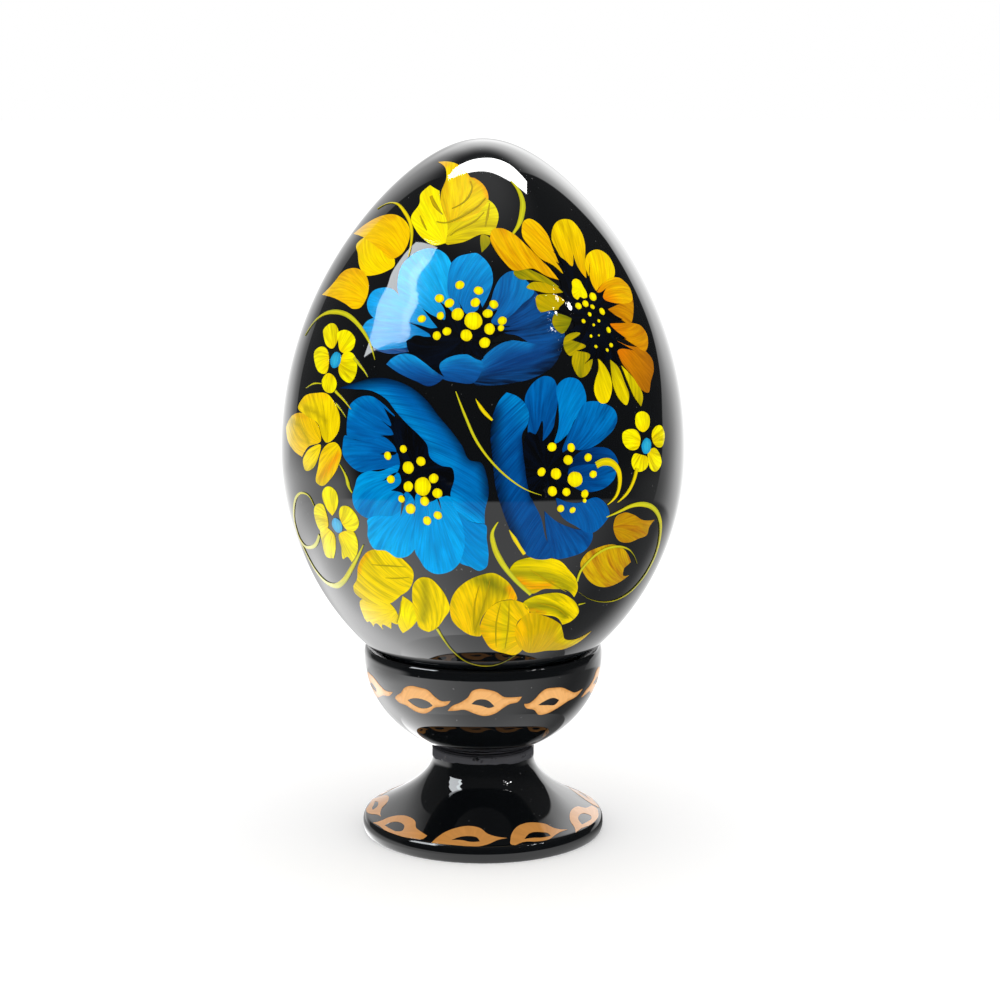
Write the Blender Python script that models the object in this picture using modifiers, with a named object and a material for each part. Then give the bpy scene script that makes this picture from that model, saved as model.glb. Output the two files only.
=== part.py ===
"""A painted wooden egg in a turned, footed egg cup.

Three turned pieces, in metres, +Z up, with the origin on the table under the middle of the foot:
  egg       a solid turned egg, resting in the cup and free to lift out
  cup_bowl  the bowl, with a recess above for the egg and a blind socket below
  foot      the collar, flared stem and base, with a tenon that is glued into the socket
"""
import math

import bmesh
import bpy

MM = 0.001
COLLECTION = "pysanka_decorated_egg"
STEPS = 60                      # facets around every turned piece

# Overall sizes
TOTAL_HEIGHT = 87.0 * MM        # table to the top of the egg
EGG_RADIUS = 25.0 * MM

# Egg: two half-ovals that meet where the egg is widest
EGG_WIDEST_Z = 48.4 * MM
EGG_LOWER = 30.35 * MM          # widest height down to the bottom tip
EGG_UPPER = TOTAL_HEIGHT - EGG_WIDEST_Z
EGG_BOTTOM_Z = EGG_WIDEST_Z - EGG_LOWER
EGG_UPPER_SLIM = (0.155, 0.08)  # how much slimmer than an ellipse the narrow end gets
EGG_LOWER_SLIM = (0.065, 0.0)
EGG_RINGS = 17                  # rings in each half

# Cup bowl: an ellipse below a rounded lip
BOWL_RADIUS = 15.0 * MM
BOWL_WIDEST_Z = 23.0 * MM
BOWL_DEPTH = 12.9 * MM          # semi-height of the outer ellipse
BOWL_BOTTOM_Z = 11.05 * MM
LIP_TOP_Z = 24.0 * MM
LIP_ROUND = 0.4 * MM            # how far the lip rounds inwards over its height
RECESS_GAP_FLOOR = 1.0 * MM     # room under the egg's bottom tip
RECESS_GAP_LIP = 0.33 * MM      # the egg's seat, close under the lip
RECESS_RINGS = 9
LIP_RINGS = (75, 50, 25)        # degrees up from the widest ring
BOWL_RINGS = 13

# Glued joint between the bowl and the foot
TENON_RADIUS = 3.0 * MM
TENON_LENGTH = 3.2 * MM
TENON_CHAMFER = 0.3 * MM
GLUE_GAP = 0.25 * MM

# Foot: a collar, a flare that widens by a power of the drop, and an edge that is part of an ellipse
COLLAR_RADIUS = 6.45 * MM
COLLAR_TOP_Z = BOWL_BOTTOM_Z - GLUE_GAP
FLARE_TOP_Z = 9.3 * MM
FLARE_POWER = 1.8
FLARE_RINGS = 10
FOOT_RADIUS = 15.3 * MM
EDGE_MIDDLE_Z = 1.0 * MM
EDGE_DEPTH = 0.6 * MM           # semi-axes of the edge's ellipse
EDGE_HEIGHT = 1.2 * MM
EDGE_RINGS = (70, 40, 12, -18, -50)  # degrees above and below its middle
BASE_CHAMFER = 0.1 * MM

# Lacquer: linear colour and roughness
BLACK_LACQUER = (0.006, 0.006, 0.007, 1.0)
LACQUER_ROUGHNESS = 0.12


def clear_scene():
    for obj in list(bpy.data.objects):
        bpy.data.objects.remove(obj, do_unlink=True)


def oval_point(outer_r, middle_z, depth, height, degrees):
    """A point on a turned body's rounded outer side, at an angle above its widest ring."""
    turn = math.radians(degrees)
    return outer_r - depth * (1 - math.cos(turn)), middle_z + height * math.sin(turn)


def egg_radius(z):
    """Radius of the egg at height z."""
    upper = z > EGG_WIDEST_Z
    reach = EGG_UPPER if upper else EGG_LOWER
    slim_2, slim_4 = EGG_UPPER_SLIM if upper else EGG_LOWER_SLIM
    t2 = min(1.0, ((z - EGG_WIDEST_Z) / reach) ** 2)
    return EGG_RADIUS * math.sqrt(1.0 - t2) * (1.0 - slim_2 * t2 - slim_4 * t2 * t2)


def egg_profile():
    points = [(0.0, TOTAL_HEIGHT)]
    for i in range(1, 2 * EGG_RINGS):
        turn = math.pi / 2 * (1.0 - i / EGG_RINGS)
        reach = EGG_UPPER if turn > 0 else EGG_LOWER
        z = EGG_WIDEST_Z + reach * math.sin(turn)
        points.append((egg_radius(z), z))
    points.append((0.0, EGG_BOTTOM_Z))
    return points


def recess_profile():
    """From the recess floor on the axis, up the wall to the lip: the egg's own shape, lowered."""
    floor_z = EGG_BOTTOM_Z - RECESS_GAP_FLOOR
    points = [(0.0, floor_z)]
    for i in range(1, RECESS_RINGS + 1):
        share = (i / RECESS_RINGS) ** 2
        z = floor_z + (LIP_TOP_Z - floor_z) * share
        gap = RECESS_GAP_FLOOR + (RECESS_GAP_LIP - RECESS_GAP_FLOOR) * share
        points.append((egg_radius(z + gap), z))
    return points


def bowl_profile():
    points = recess_profile()
    lip_height = LIP_TOP_Z - BOWL_WIDEST_Z
    points += [oval_point(BOWL_RADIUS, BOWL_WIDEST_Z, LIP_ROUND, lip_height, degrees) for degrees in LIP_RINGS]
    lowest = math.asin((BOWL_WIDEST_Z - BOWL_BOTTOM_Z) / BOWL_DEPTH)
    for i in range(BOWL_RINGS + 1):
        turn = lowest * i / BOWL_RINGS
        points.append((BOWL_RADIUS * math.cos(turn), BOWL_WIDEST_Z - BOWL_DEPTH * math.sin(turn)))
    socket_radius = TENON_RADIUS + GLUE_GAP
    socket_top_z = COLLAR_TOP_Z + TENON_LENGTH + GLUE_GAP
    points.append((socket_radius, BOWL_BOTTOM_Z))
    points.append((socket_radius, socket_top_z))
    points.append((0.0, socket_top_z))
    return points


def foot_profile():
    tenon_top_z = COLLAR_TOP_Z + TENON_LENGTH
    points = [
        (0.0, tenon_top_z),
        (TENON_RADIUS - TENON_CHAMFER, tenon_top_z),
        (TENON_RADIUS, tenon_top_z - TENON_CHAMFER),
        (TENON_RADIUS, COLLAR_TOP_Z),
        (COLLAR_RADIUS - TENON_CHAMFER / 2, COLLAR_TOP_Z),
        (COLLAR_RADIUS, COLLAR_TOP_Z - TENON_CHAMFER / 2),
    ]
    edge = [oval_point(FOOT_RADIUS, EDGE_MIDDLE_Z, EDGE_DEPTH, EDGE_HEIGHT, degrees) for degrees in EDGE_RINGS]
    shoulder_radius, shoulder_z = edge[0]
    for i in range(FLARE_RINGS):
        drop = i / FLARE_RINGS
        widening = (shoulder_radius - COLLAR_RADIUS) * drop ** FLARE_POWER
        points.append((COLLAR_RADIUS + widening, FLARE_TOP_Z + (shoulder_z - FLARE_TOP_Z) * drop))
    points += edge
    points.append((edge[-1][0] - BASE_CHAMFER, 0.0))
    points.append((0.0, 0.0))
    return points


def lacquer(name):
    material = bpy.data.materials.new(name)
    material.use_nodes = True
    shader = material.node_tree.nodes["Principled BSDF"]
    shader.inputs["Base Color"].default_value = BLACK_LACQUER
    shader.inputs["Roughness"].default_value = LACQUER_ROUGHNESS
    shader.inputs["Metallic"].default_value = 0.0
    return material


def turned(name, profile, collection):
    """Turn a profile of (radius, z) points, outer side running down, about the Z axis."""
    mesh = bpy.data.meshes.new(name)
    outline = bmesh.new()
    verts = [outline.verts.new((radius, 0.0, z)) for radius, z in profile]
    for upper, lower in zip(verts, verts[1:]):
        outline.edges.new((upper, lower))
    outline.to_mesh(mesh)
    outline.free()
    obj = bpy.data.objects.new(name, mesh)
    collection.objects.link(obj)
    screw = obj.modifiers.new("Turning", "SCREW")
    screw.axis = 'Z'
    screw.angle = 2.0 * math.pi
    screw.steps = STEPS
    screw.render_steps = STEPS
    screw.use_merge_vertices = True
    screw.merge_threshold = 0.00001
    screw.use_smooth_shade = True
    mesh.materials.append(lacquer(name + "_lacquer"))
    return obj


def main():
    clear_scene()
    collection = bpy.data.collections.new(COLLECTION)
    bpy.context.scene.collection.children.link(collection)
    turned("foot", foot_profile(), collection)
    turned("cup_bowl", bowl_profile(), collection)
    turned("egg", egg_profile(), collection)


main()
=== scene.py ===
"""Looks of the painted wooden egg and its turned, footed cup.

Black gloss lacquer on three turned pieces, with every brush stroke a thin closed shell of paint lying
just above the lacquer. Lengths are in millimetres and are scaled to metres when a mesh is made.
A place on a turned surface is (longitude, height): longitude in degrees from the front (-Y), positive
towards +X, and height in millimetres above the table.

The outlines of the flowers, leaves, curls, beads, ornaments and strip lights are traced, not designed: their
points were picked by eye on a photograph of the object, and a separate script turned them into these units.
Some were adjusted afterwards. The sprig on the back is designed.
"""

import math
import random

import bpy
import numpy as np
from mathutils.geometry import delaunay_2d_cdt
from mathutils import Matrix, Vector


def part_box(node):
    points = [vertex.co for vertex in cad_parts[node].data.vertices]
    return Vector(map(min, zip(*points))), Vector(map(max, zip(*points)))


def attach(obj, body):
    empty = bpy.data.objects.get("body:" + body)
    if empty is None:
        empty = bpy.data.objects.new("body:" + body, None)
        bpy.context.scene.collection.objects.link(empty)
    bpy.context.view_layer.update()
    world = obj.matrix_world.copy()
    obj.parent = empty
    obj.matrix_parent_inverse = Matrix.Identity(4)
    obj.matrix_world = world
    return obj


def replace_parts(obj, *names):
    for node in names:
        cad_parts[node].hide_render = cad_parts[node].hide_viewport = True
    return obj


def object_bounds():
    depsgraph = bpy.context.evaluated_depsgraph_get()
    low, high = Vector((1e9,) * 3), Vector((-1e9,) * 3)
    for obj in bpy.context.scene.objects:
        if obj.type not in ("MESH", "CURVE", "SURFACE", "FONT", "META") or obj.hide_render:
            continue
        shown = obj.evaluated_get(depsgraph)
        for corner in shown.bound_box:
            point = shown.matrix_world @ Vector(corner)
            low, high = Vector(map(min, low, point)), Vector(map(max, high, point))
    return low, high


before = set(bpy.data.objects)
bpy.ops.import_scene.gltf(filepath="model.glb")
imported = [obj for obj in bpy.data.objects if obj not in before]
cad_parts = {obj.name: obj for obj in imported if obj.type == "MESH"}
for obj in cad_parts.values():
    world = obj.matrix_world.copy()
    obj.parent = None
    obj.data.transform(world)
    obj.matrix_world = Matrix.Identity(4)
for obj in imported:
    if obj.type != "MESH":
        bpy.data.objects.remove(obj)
CAD_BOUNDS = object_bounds()

MM = 0.001
rng = random.Random(1987)

# ---------------------------------------------------------------- sizes, from the frame


def box_mm(node):
    low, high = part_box(node)
    return [c / MM for c in low], [c / MM for c in high]


egg_low, egg_high = box_mm("egg")
bowl_low, bowl_high = box_mm("cup_bowl")
foot_low, foot_high = box_mm("foot")

EGG_RADIUS = (egg_high[0] - egg_low[0]) / 2
EGG_TOP, EGG_BOTTOM = egg_high[2], egg_low[2]
WIDEST_SHARE = 0.44017          # how far up the egg its widest ring is
EGG_WIDEST = EGG_BOTTOM + WIDEST_SHARE * (EGG_TOP - EGG_BOTTOM)
UPPER_SLIM = (0.155, 0.08)      # how much slimmer than an ellipse the narrow end gets
LOWER_SLIM = (0.065, 0.0)

BOWL_RADIUS = (bowl_high[0] - bowl_low[0]) / 2
LIP_TOP, BOWL_BOTTOM = bowl_high[2], bowl_low[2]
LIP_HEIGHT = 1.0                # the lip above the bowl's widest ring
BOWL_WIDEST = LIP_TOP - LIP_HEIGHT
BOWL_DEPTH = 12.9               # semi-height of the bowl's outer ellipse
LIP_ROUND = 0.4                 # how far the lip rounds inwards over its height
LIP_TURN = math.radians(75)
SEAT_GAP, FLOOR_GAP = 0.33, 1.0  # round the egg close under the lip, and below its tip

TENON_RADIUS, TENON_LENGTH, TENON_CHAMFER, GLUE_GAP = 3.0, 3.2, 0.3, 0.25
FOOT_RADIUS = (foot_high[0] - foot_low[0]) / 2
TENON_TOP = foot_high[2]
COLLAR_TOP = TENON_TOP - TENON_LENGTH
COLLAR_RADIUS = 6.45
EDGE_MIDDLE, EDGE_DEPTH, EDGE_HEIGHT, BASE_CHAMFER = 1.0, 0.6, 1.2, 0.1
EDGE_LOW_TURN, EDGE_TURN = math.radians(-50), math.radians(70)
FLARE_TOP, FLARE_POWER = 9.3, 1.8
FLARE_END = EDGE_MIDDLE + EDGE_HEIGHT * math.sin(EDGE_TURN)
SHOULDER = FOOT_RADIUS - EDGE_DEPTH * (1 - math.cos(EDGE_TURN))


def egg_radius(z):
    z = np.asarray(z, float)
    upper = z > EGG_WIDEST
    share = np.where(upper, (z - EGG_WIDEST) / (EGG_TOP - EGG_WIDEST),
                     (z - EGG_WIDEST) / (EGG_WIDEST - EGG_BOTTOM))
    t2 = np.clip(share ** 2, 0, 1)
    slim_2 = np.where(upper, UPPER_SLIM[0], LOWER_SLIM[0])
    slim_4 = np.where(upper, UPPER_SLIM[1], LOWER_SLIM[1])
    return EGG_RADIUS * np.sqrt(1 - t2) * (1 - slim_2 * t2 - slim_4 * t2 * t2)


def egg_profile(count=110):
    """Bottom tip to top tip."""
    turns = np.linspace(-math.pi / 2, math.pi / 2, 2 * count + 1)
    reach = np.where(turns > 0, EGG_TOP - EGG_WIDEST, EGG_WIDEST - EGG_BOTTOM)
    heights = EGG_WIDEST + reach * np.sin(turns)
    return [(float(r), float(z)) for r, z in zip(egg_radius(heights), heights)]


def bowl_outside(count=60):
    """Bottom rim to the lip's outer side."""
    lowest = math.asin((BOWL_WIDEST - BOWL_BOTTOM) / BOWL_DEPTH)
    turns = np.linspace(lowest, 0, count + 1)
    return [(BOWL_RADIUS * math.cos(a), BOWL_WIDEST - BOWL_DEPTH * math.sin(a)) for a in turns]


def bowl_profile(recess_rings=40):
    lip = [(BOWL_RADIUS - LIP_ROUND * (1 - math.cos(a)), BOWL_WIDEST + (LIP_TOP - BOWL_WIDEST) * math.sin(a))
           for a in np.linspace(0, LIP_TURN, 16)[1:]]
    recess, floor_z = [], EGG_BOTTOM - FLOOR_GAP
    for share in np.linspace(1, 0, recess_rings + 1) ** 2:
        z = floor_z + (LIP_TOP - floor_z) * share
        gap = FLOOR_GAP + (SEAT_GAP - FLOOR_GAP) * share
        recess.append((float(egg_radius(z + gap)), z))
    socket_r, socket_top = TENON_RADIUS + GLUE_GAP, TENON_TOP + GLUE_GAP
    socket = [(0.0, socket_top), (socket_r, socket_top), (socket_r, BOWL_BOTTOM)]
    return socket + bowl_outside() + lip + recess[:-1] + [(0.0, floor_z)]


def flare_outside(count=60):
    """Shoulder above the base to the collar."""
    drops = np.linspace(1, 0, count + 1)
    return [(COLLAR_RADIUS + (SHOULDER - COLLAR_RADIUS) * d ** FLARE_POWER,
             FLARE_TOP + (FLARE_END - FLARE_TOP) * d) for d in drops]


def foot_profile():
    edge = [(FOOT_RADIUS - EDGE_DEPTH * (1 - math.cos(a)), EDGE_MIDDLE + EDGE_HEIGHT * math.sin(a))
            for a in np.linspace(EDGE_LOW_TURN, EDGE_TURN, 24)]
    base = [(0.0, 0.0), (edge[0][0] - BASE_CHAMFER, 0.0)]
    half = TENON_CHAMFER / 2
    top = [(COLLAR_RADIUS, COLLAR_TOP - half), (COLLAR_RADIUS - half, COLLAR_TOP), (TENON_RADIUS, COLLAR_TOP),
           (TENON_RADIUS, TENON_TOP - TENON_CHAMFER), (TENON_RADIUS - TENON_CHAMFER, TENON_TOP),
           (0.0, TENON_TOP)]
    return base + edge + flare_outside()[1:] + top


# ---------------------------------------------------------------- node helpers


def to_linear(c):
    c = np.asarray(c, float)
    return np.where(c <= 0.04045, c / 12.92, ((c + 0.055) / 1.055) ** 2.4)


def shade(r, g, b):
    """An 8-bit display colour as a linear RGBA tuple."""
    return tuple(float(v) for v in to_linear(np.array((r, g, b)) / 255)) + (1.0,)


class Tree:
    """Short calls for building a node tree."""

    def __init__(self, tree):
        self.tree = tree
        tree.nodes.clear()

    def add(self, kind, **settings):
        node = self.tree.nodes.new(kind)
        for key, value in settings.items():
            setattr(node, key, value)
        return node

    def put(self, socket, value):
        if isinstance(value, bpy.types.NodeSocket):
            self.tree.links.new(value, socket)
        elif value is not None:
            socket.default_value = value

    def math(self, operation, a, b=None, c=None, clamp=False):
        node = self.add("ShaderNodeMath", operation=operation, use_clamp=clamp)
        for socket, value in zip(node.inputs, (a, b, c)):
            self.put(socket, value)
        return node.outputs[0]

    def step(self, value, low, high, to_low=0.0, to_high=1.0):
        """Smooth change from to_low to to_high as value goes from low to high."""
        node = self.add("ShaderNodeMapRange", interpolation_type='SMOOTHSTEP')
        for socket, v in zip(node.inputs, (value, low, high, to_low, to_high)):
            self.put(socket, v)
        return node.outputs[0]

    def mix(self, factor, a, b):
        node = self.add("ShaderNodeMix", data_type='RGBA')
        self.put(node.inputs[0], factor)
        self.put(node.inputs[6], a)
        self.put(node.inputs[7], b)
        return node.outputs[2]

    def mix_value(self, factor, a, b):
        node = self.add("ShaderNodeMix", data_type='FLOAT')
        self.put(node.inputs[0], factor)
        self.put(node.inputs[2], a)
        self.put(node.inputs[3], b)
        return node.outputs[0]

    def noise(self, vector, scale, detail=2.0, roughness=0.5):
        node = self.add("ShaderNodeTexNoise")
        self.put(node.inputs["Vector"], vector)
        self.put(node.inputs["Scale"], scale)
        self.put(node.inputs["Detail"], detail)
        self.put(node.inputs["Roughness"], roughness)
        return node.outputs["Fac"]

    def stretched(self, vector, scales):
        node = self.add("ShaderNodeMapping")
        self.put(node.inputs["Vector"], vector)
        node.inputs["Scale"].default_value = scales
        return node.outputs[0]

    def bump(self, height, strength, distance):
        node = self.add("ShaderNodeBump")
        self.put(node.inputs["Strength"], strength)
        self.put(node.inputs["Distance"], distance)
        self.put(node.inputs["Height"], height)
        return node.outputs[0]


def new_material(name):
    material = bpy.data.materials.new(name)
    material.use_nodes = True
    t = Tree(material.node_tree)
    shader = t.add("ShaderNodeBsdfPrincipled")
    output = t.add("ShaderNodeOutputMaterial")
    t.put(output.inputs["Surface"], shader.outputs[0])
    return material, t, shader.inputs


COAT_IOR = 1.5
BLACK = shade(8, 10, 12)


def lacquer_material(name, matt_low=None, matt_high=None, matt_tone=(66, 66, 70), front_dip=0.0):
    """Black gloss lacquer. Between two heights (mm) it turns to a matt grey with chips of black: wear, and on
    the bowl also painted light.
    front_dip is how much higher (mm) the matt band starts at the front and back than at the sides."""
    material, t, inputs = new_material(name)
    place = t.add("ShaderNodeTexCoord").outputs["Object"]
    cloudy = t.noise(place, 90.0, 3.0)
    dust = t.noise(place, 2600.0, 1.0)
    speck = t.step(dust, 0.772, 0.80)
    base = t.mix(t.step(cloudy, 0.3, 0.75), BLACK, shade(11, 13, 15))
    base = t.mix(speck, base, shade(95, 95, 95))
    coat = 1.0
    if matt_low is not None:
        height = t.add("ShaderNodeSeparateXYZ")
        t.put(height.inputs[0], place)
        ragged = t.math('MULTIPLY_ADD', t.noise(place, 500.0, 4.0), 0.0006, height.outputs[2])
        forward = t.math('DIVIDE', height.outputs[1], COLLAR_RADIUS * MM)
        rise = t.math('MULTIPLY', t.math('MULTIPLY', forward, forward), -front_dip * MM)
        above = t.step(t.math('ADD', ragged, rise), matt_low * MM, (matt_low + 0.10) * MM)
        below = t.step(ragged, matt_high * MM, (matt_high + 0.25) * MM, 1.0, 0.0)
        chips = t.step(t.noise(place, 900.0, 5.0, 0.7), 0.60, 0.66, 1.0, 0.0)
        matt = t.math('MULTIPLY', t.math('MULTIPLY', above, below), chips)
        grey = t.mix(t.noise(t.stretched(place, (1.0, 1.0, 12.0)), 350.0, 4.0), shade(*matt_tone),
                     shade(*(c * 0.72 for c in matt_tone)))
        base = t.mix(matt, base, grey)
        coat = t.math('SUBTRACT', 1.0, matt)
    t.put(inputs["Base Color"], base)
    t.put(inputs["Roughness"], 0.6)
    t.put(inputs["Specular IOR Level"], 0.0)
    t.put(inputs["Coat Weight"], coat)
    t.put(inputs["Coat Roughness"], 0.025)
    t.put(inputs["Coat IOR"], COAT_IOR)
    ripple = t.noise(place, 160.0, 2.0)
    t.put(inputs["Coat Normal"], t.bump(ripple, 0.10, 0.00008))
    t.put(inputs["Normal"], t.bump(cloudy, 0.2, 0.0001))
    return material


def paint_material(name, gloss, fine=2.6, broad=0.9, relief=0.35, coat_roughness=0.03, sheen=0.0, rough=0.5,
                   uneven=1.0):
    """Brushed paint under the clear gloss: bristle marks run along each stroke. gloss is how much of the
    clear gloss shows seen straight on; seen at a flat angle it is as glossy as the bare lacquer."""
    material, t, inputs = new_material(name)
    bristle = t.add("ShaderNodeAttribute", attribute_name="bristle").outputs["Vector"]
    paint = t.add("ShaderNodeAttribute", attribute_name="paint").outputs["Color"]
    streak = t.add("ShaderNodeAttribute", attribute_name="streak")
    hairs = t.noise(t.stretched(bristle, (fine, 0.22, 1.0)), 1.0, 3.0, 0.6)
    bands = t.noise(t.stretched(bristle, (broad, 0.14, 1.0)), 1.0, 2.0, 0.5)
    hair_mask = t.step(hairs, 0.46, 0.66)
    band_mask = t.step(bands, 0.44, 0.64)
    mask = t.math('ADD', t.math('MULTIPLY', hair_mask, 0.6), t.math('MULTIPLY', band_mask, 0.6), clamp=True)
    mask = t.math('MULTIPLY', mask, streak.outputs["Alpha"])
    colour = t.mix(mask, paint, streak.outputs["Color"])
    glint = t.step(t.noise(t.stretched(bristle, (fine * 1.7, 0.3, 1.0)), 1.0, 2.0), 0.35, 0.72,
                   1 - 0.14 * uneven, 1 + 0.12 * uneven)
    scaled = t.add("ShaderNodeVectorMath", operation='SCALE')
    t.put(scaled.inputs[0], colour)
    t.put(scaled.inputs["Scale"], glint)
    t.put(inputs["Base Color"], scaled.outputs[0])
    t.put(inputs["Roughness"], rough)
    t.put(inputs["Specular IOR Level"], sheen)
    view = t.add("ShaderNodeLayerWeight")
    t.put(view.inputs["Blend"], 0.5)
    t.put(inputs["Coat Weight"], t.step(view.outputs["Facing"], 0.35, 0.7, gloss, 1.0))
    t.put(inputs["Coat Roughness"], coat_roughness)
    t.put(inputs["Coat IOR"], COAT_IOR)
    t.put(inputs["Normal"], t.bump(hairs, relief, 0.0001))
    if gloss > 0.3:
        t.put(inputs["Coat Normal"], t.bump(bands, 0.10, 0.0001))
    return material


# ---------------------------------------------------------------- turned bodies

TURN_STEPS = 192
SMOOTH_BELOW = math.radians(32)


def link(obj):
    bpy.context.scene.collection.objects.link(obj)
    return obj


def turned(name, profile, material):
    """Closed mesh from a profile of (radius, z) that starts and ends on the axis, outside running up."""
    verts, rings = [], []
    for r, z in profile:
        if r < 1e-6:
            rings.append([len(verts)])
            verts.append((0.0, 0.0, z * MM))
        else:
            rings.append(list(range(len(verts), len(verts) + TURN_STEPS)))
            for i in range(TURN_STEPS):
                a = 2 * math.pi * i / TURN_STEPS
                verts.append((r * math.cos(a) * MM, r * math.sin(a) * MM, z * MM))
    faces = []
    for low, high in zip(rings, rings[1:]):
        for i in range(TURN_STEPS):
            j = (i + 1) % TURN_STEPS
            if len(low) == 1:
                faces.append((low[0], high[j], high[i]))
            elif len(high) == 1:
                faces.append((low[i], low[j], high[0]))
            else:
                faces.append((low[i], low[j], high[j], high[i]))
    mesh = bpy.data.meshes.new(name)
    mesh.from_pydata(verts, [], faces)
    mesh.polygons.foreach_set("use_smooth", [True] * len(mesh.polygons))
    mesh.set_sharp_from_angle(angle=SMOOTH_BELOW)
    mesh.materials.append(material)
    return link(bpy.data.objects.new(name, mesh))


egg_body = turned("egg_lacquered", egg_profile(), lacquer_material("egg_black_lacquer"))
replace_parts(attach(egg_body, "egg_body"), "egg")

# the lacquer is worn to matt grey on the bowl's bottom rim and on the foot's collar; on the bowl the grey
# also runs onto its downward-facing underside and is given lighter, as painted light on that shaded side
BOWL_WEAR_AND_PAINTED_LIGHT = (BOWL_BOTTOM - 1.0, BOWL_BOTTOM + 0.75)
FOOT_WORN, FOOT_WORN_DIP = (FLARE_TOP + 0.45, COLLAR_TOP + 2.0), 0.45

bowl_body = turned("bowl_lacquered", bowl_profile(),
                   lacquer_material("bowl_black_lacquer", *BOWL_WEAR_AND_PAINTED_LIGHT, (70, 70, 75)))
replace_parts(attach(bowl_body, "stand"), "cup_bowl")

foot_body = turned("foot_lacquered", foot_profile(),
                   lacquer_material("foot_black_lacquer", *FOOT_WORN, (82, 82, 86), FOOT_WORN_DIP))
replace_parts(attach(foot_body, "stand"), "foot")


SEAM_OUT = 0.12                 # the seam's middle, outside the bowl's bottom rim
SEAM_WIDE, SEAM_TALL = 0.42, 0.11
SEAM_SWELL = 0.3                # how much taller it gets where it swells out


def glue_seam():
    """The uneven line of black lacquer that fills the glued joint between the bowl and the collar."""
    profile_points, steps = 8, 180
    rim_r = BOWL_RADIUS * math.cos(math.asin((BOWL_WIDEST - BOWL_BOTTOM) / BOWL_DEPTH))
    verts, faces = [], []
    waves = [(rng.uniform(0, 2 * math.pi), rng.randint(3, 23), rng.uniform(0.02, 0.06)) for _ in range(6)]
    for i in range(steps):
        a = 2 * math.pi * i / steps
        swell = sum(size * math.sin(count * a + start) for start, count, size in waves)
        ring_r = rim_r + SEAM_OUT + swell
        for k in range(profile_points):
            turn = 2 * math.pi * k / profile_points
            r = ring_r + SEAM_WIDE * math.cos(turn)
            z = (BOWL_BOTTOM + COLLAR_TOP) / 2 + (SEAM_TALL + SEAM_SWELL * swell) * math.sin(turn)
            verts.append((r * math.cos(a) * MM, r * math.sin(a) * MM, z * MM))
    for i in range(steps):
        for k in range(profile_points):
            a, b = i * profile_points, (i + 1) % steps * profile_points
            m = (k + 1) % profile_points
            faces.append((a + k, b + k, b + m, a + m))
    mesh = bpy.data.meshes.new("glue_seam")
    mesh.from_pydata(verts, [], faces)
    mesh.polygons.foreach_set("use_smooth", [True] * len(mesh.polygons))
    mesh.materials.append(lacquer_material("seam_black", 0.0, LIP_TOP, (58, 58, 62)))
    return link(bpy.data.objects.new("glue_seam", mesh))


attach(glue_seam(), "stand")

# ---------------------------------------------------------------- paint builder


class Skin:
    """A turned surface from its outside profile, heights running up."""

    def __init__(self, profile):
        self.r, self.z = np.array(profile).T
        steps = np.hypot(np.diff(self.r), np.diff(self.z))
        self.s = np.concatenate([[0], np.cumsum(steps)])
        dr, dz = np.gradient(self.r, self.s), np.gradient(self.z, self.s)
        size = np.hypot(dr, dz)
        self.nr, self.nz = dz / size, -dr / size

    def along(self, z):
        return np.interp(z, self.z, self.s)

    def radius(self, s):
        return np.interp(s, self.s, self.r)

    def place(self, lon, s, lift):
        """Points and outward normals, in mm."""
        a = np.radians(lon)
        r, z = np.interp(s, self.s, self.r), np.interp(s, self.s, self.z)
        nr, nz = np.interp(s, self.s, self.nr), np.interp(s, self.s, self.nz)
        size = np.hypot(nr, nz)
        nr, nz = nr / size, nz / size
        r, z = r + nr * lift, z + nz * lift
        points = np.stack([r * np.sin(a), -r * np.cos(a), z], 1)
        normals = np.stack([nr * np.sin(a), -nr * np.cos(a), nz], 1)
        return points, normals


EGG = Skin(egg_profile(400))
BOWL = Skin(bowl_outside(200))
FLARE = Skin(flare_outside(200))

BASE_LIFT = 0.03        # first layer of paint above the lacquer
LAYER_LIFT = 0.008      # each layer above the one below
SUNK = 0.02             # how far the underside of the paint lies in the lacquer
GRAIN = 0.42            # spacing of points inside a stroke
EDGE_GRAIN = 0.22       # spacing along a stroke's outline
ROW_SHARE = 0.866       # rows of points are this share of GRAIN apart
RIM_SHARE = 0.55        # points nearer to the rim than this share of GRAIN are left out
PATTERN_SHIFT = 50      # each stroke takes its bristle marks from another place, up to this far off
GLOW_POWER = 1.3        # how fast a glow fades away from its path
ACROSS = 5              # points across a drawn line
EDGE_SHADE = 0.22       # how much darker a drawn line is along its sides

# The colours are set as the paint looks under light from the left, so the tones given to strokes on the right
# of the egg are darker partly as painted shade.
COLOURS = {
    "black": (3, 4, 6), "ink": (4, 13, 30), "midnight": (3, 30, 68), "navy": (3, 52, 112),
    "royal": (3, 76, 144), "ultra": (2, 91, 164),
    "cobalt": (2, 105, 178), "lapis": (2, 118, 189), "azure": (2, 132, 202),
    "bright": (2, 147, 214), "sky": (3, 163, 233), "cyan": (12, 179, 242),
    "lemon": (253, 241, 2), "yellow": (250, 219, 3), "gold": (249, 203, 3), "honey": (241, 188, 4),
    "amber": (233, 172, 5), "apricot": (215, 148, 4), "orange": (246, 150, 4), "flame": (232, 118, 6),
    "rust": (198, 122, 6), "brown": (170, 102, 8), "ochre": (188, 141, 4), "mustard": (208, 170, 4),
    "pear": (228, 206, 3), "khaki": (187, 164, 6), "olive": (158, 149, 8), "moss": (118, 120, 12),
    "lime": (206, 206, 34), "turquoise": (40, 176, 214), "teal": (10, 140, 190), "copper": (240, 180, 112),
    "bronze": (208, 144, 74), "umber": (160, 106, 58),
}


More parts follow.
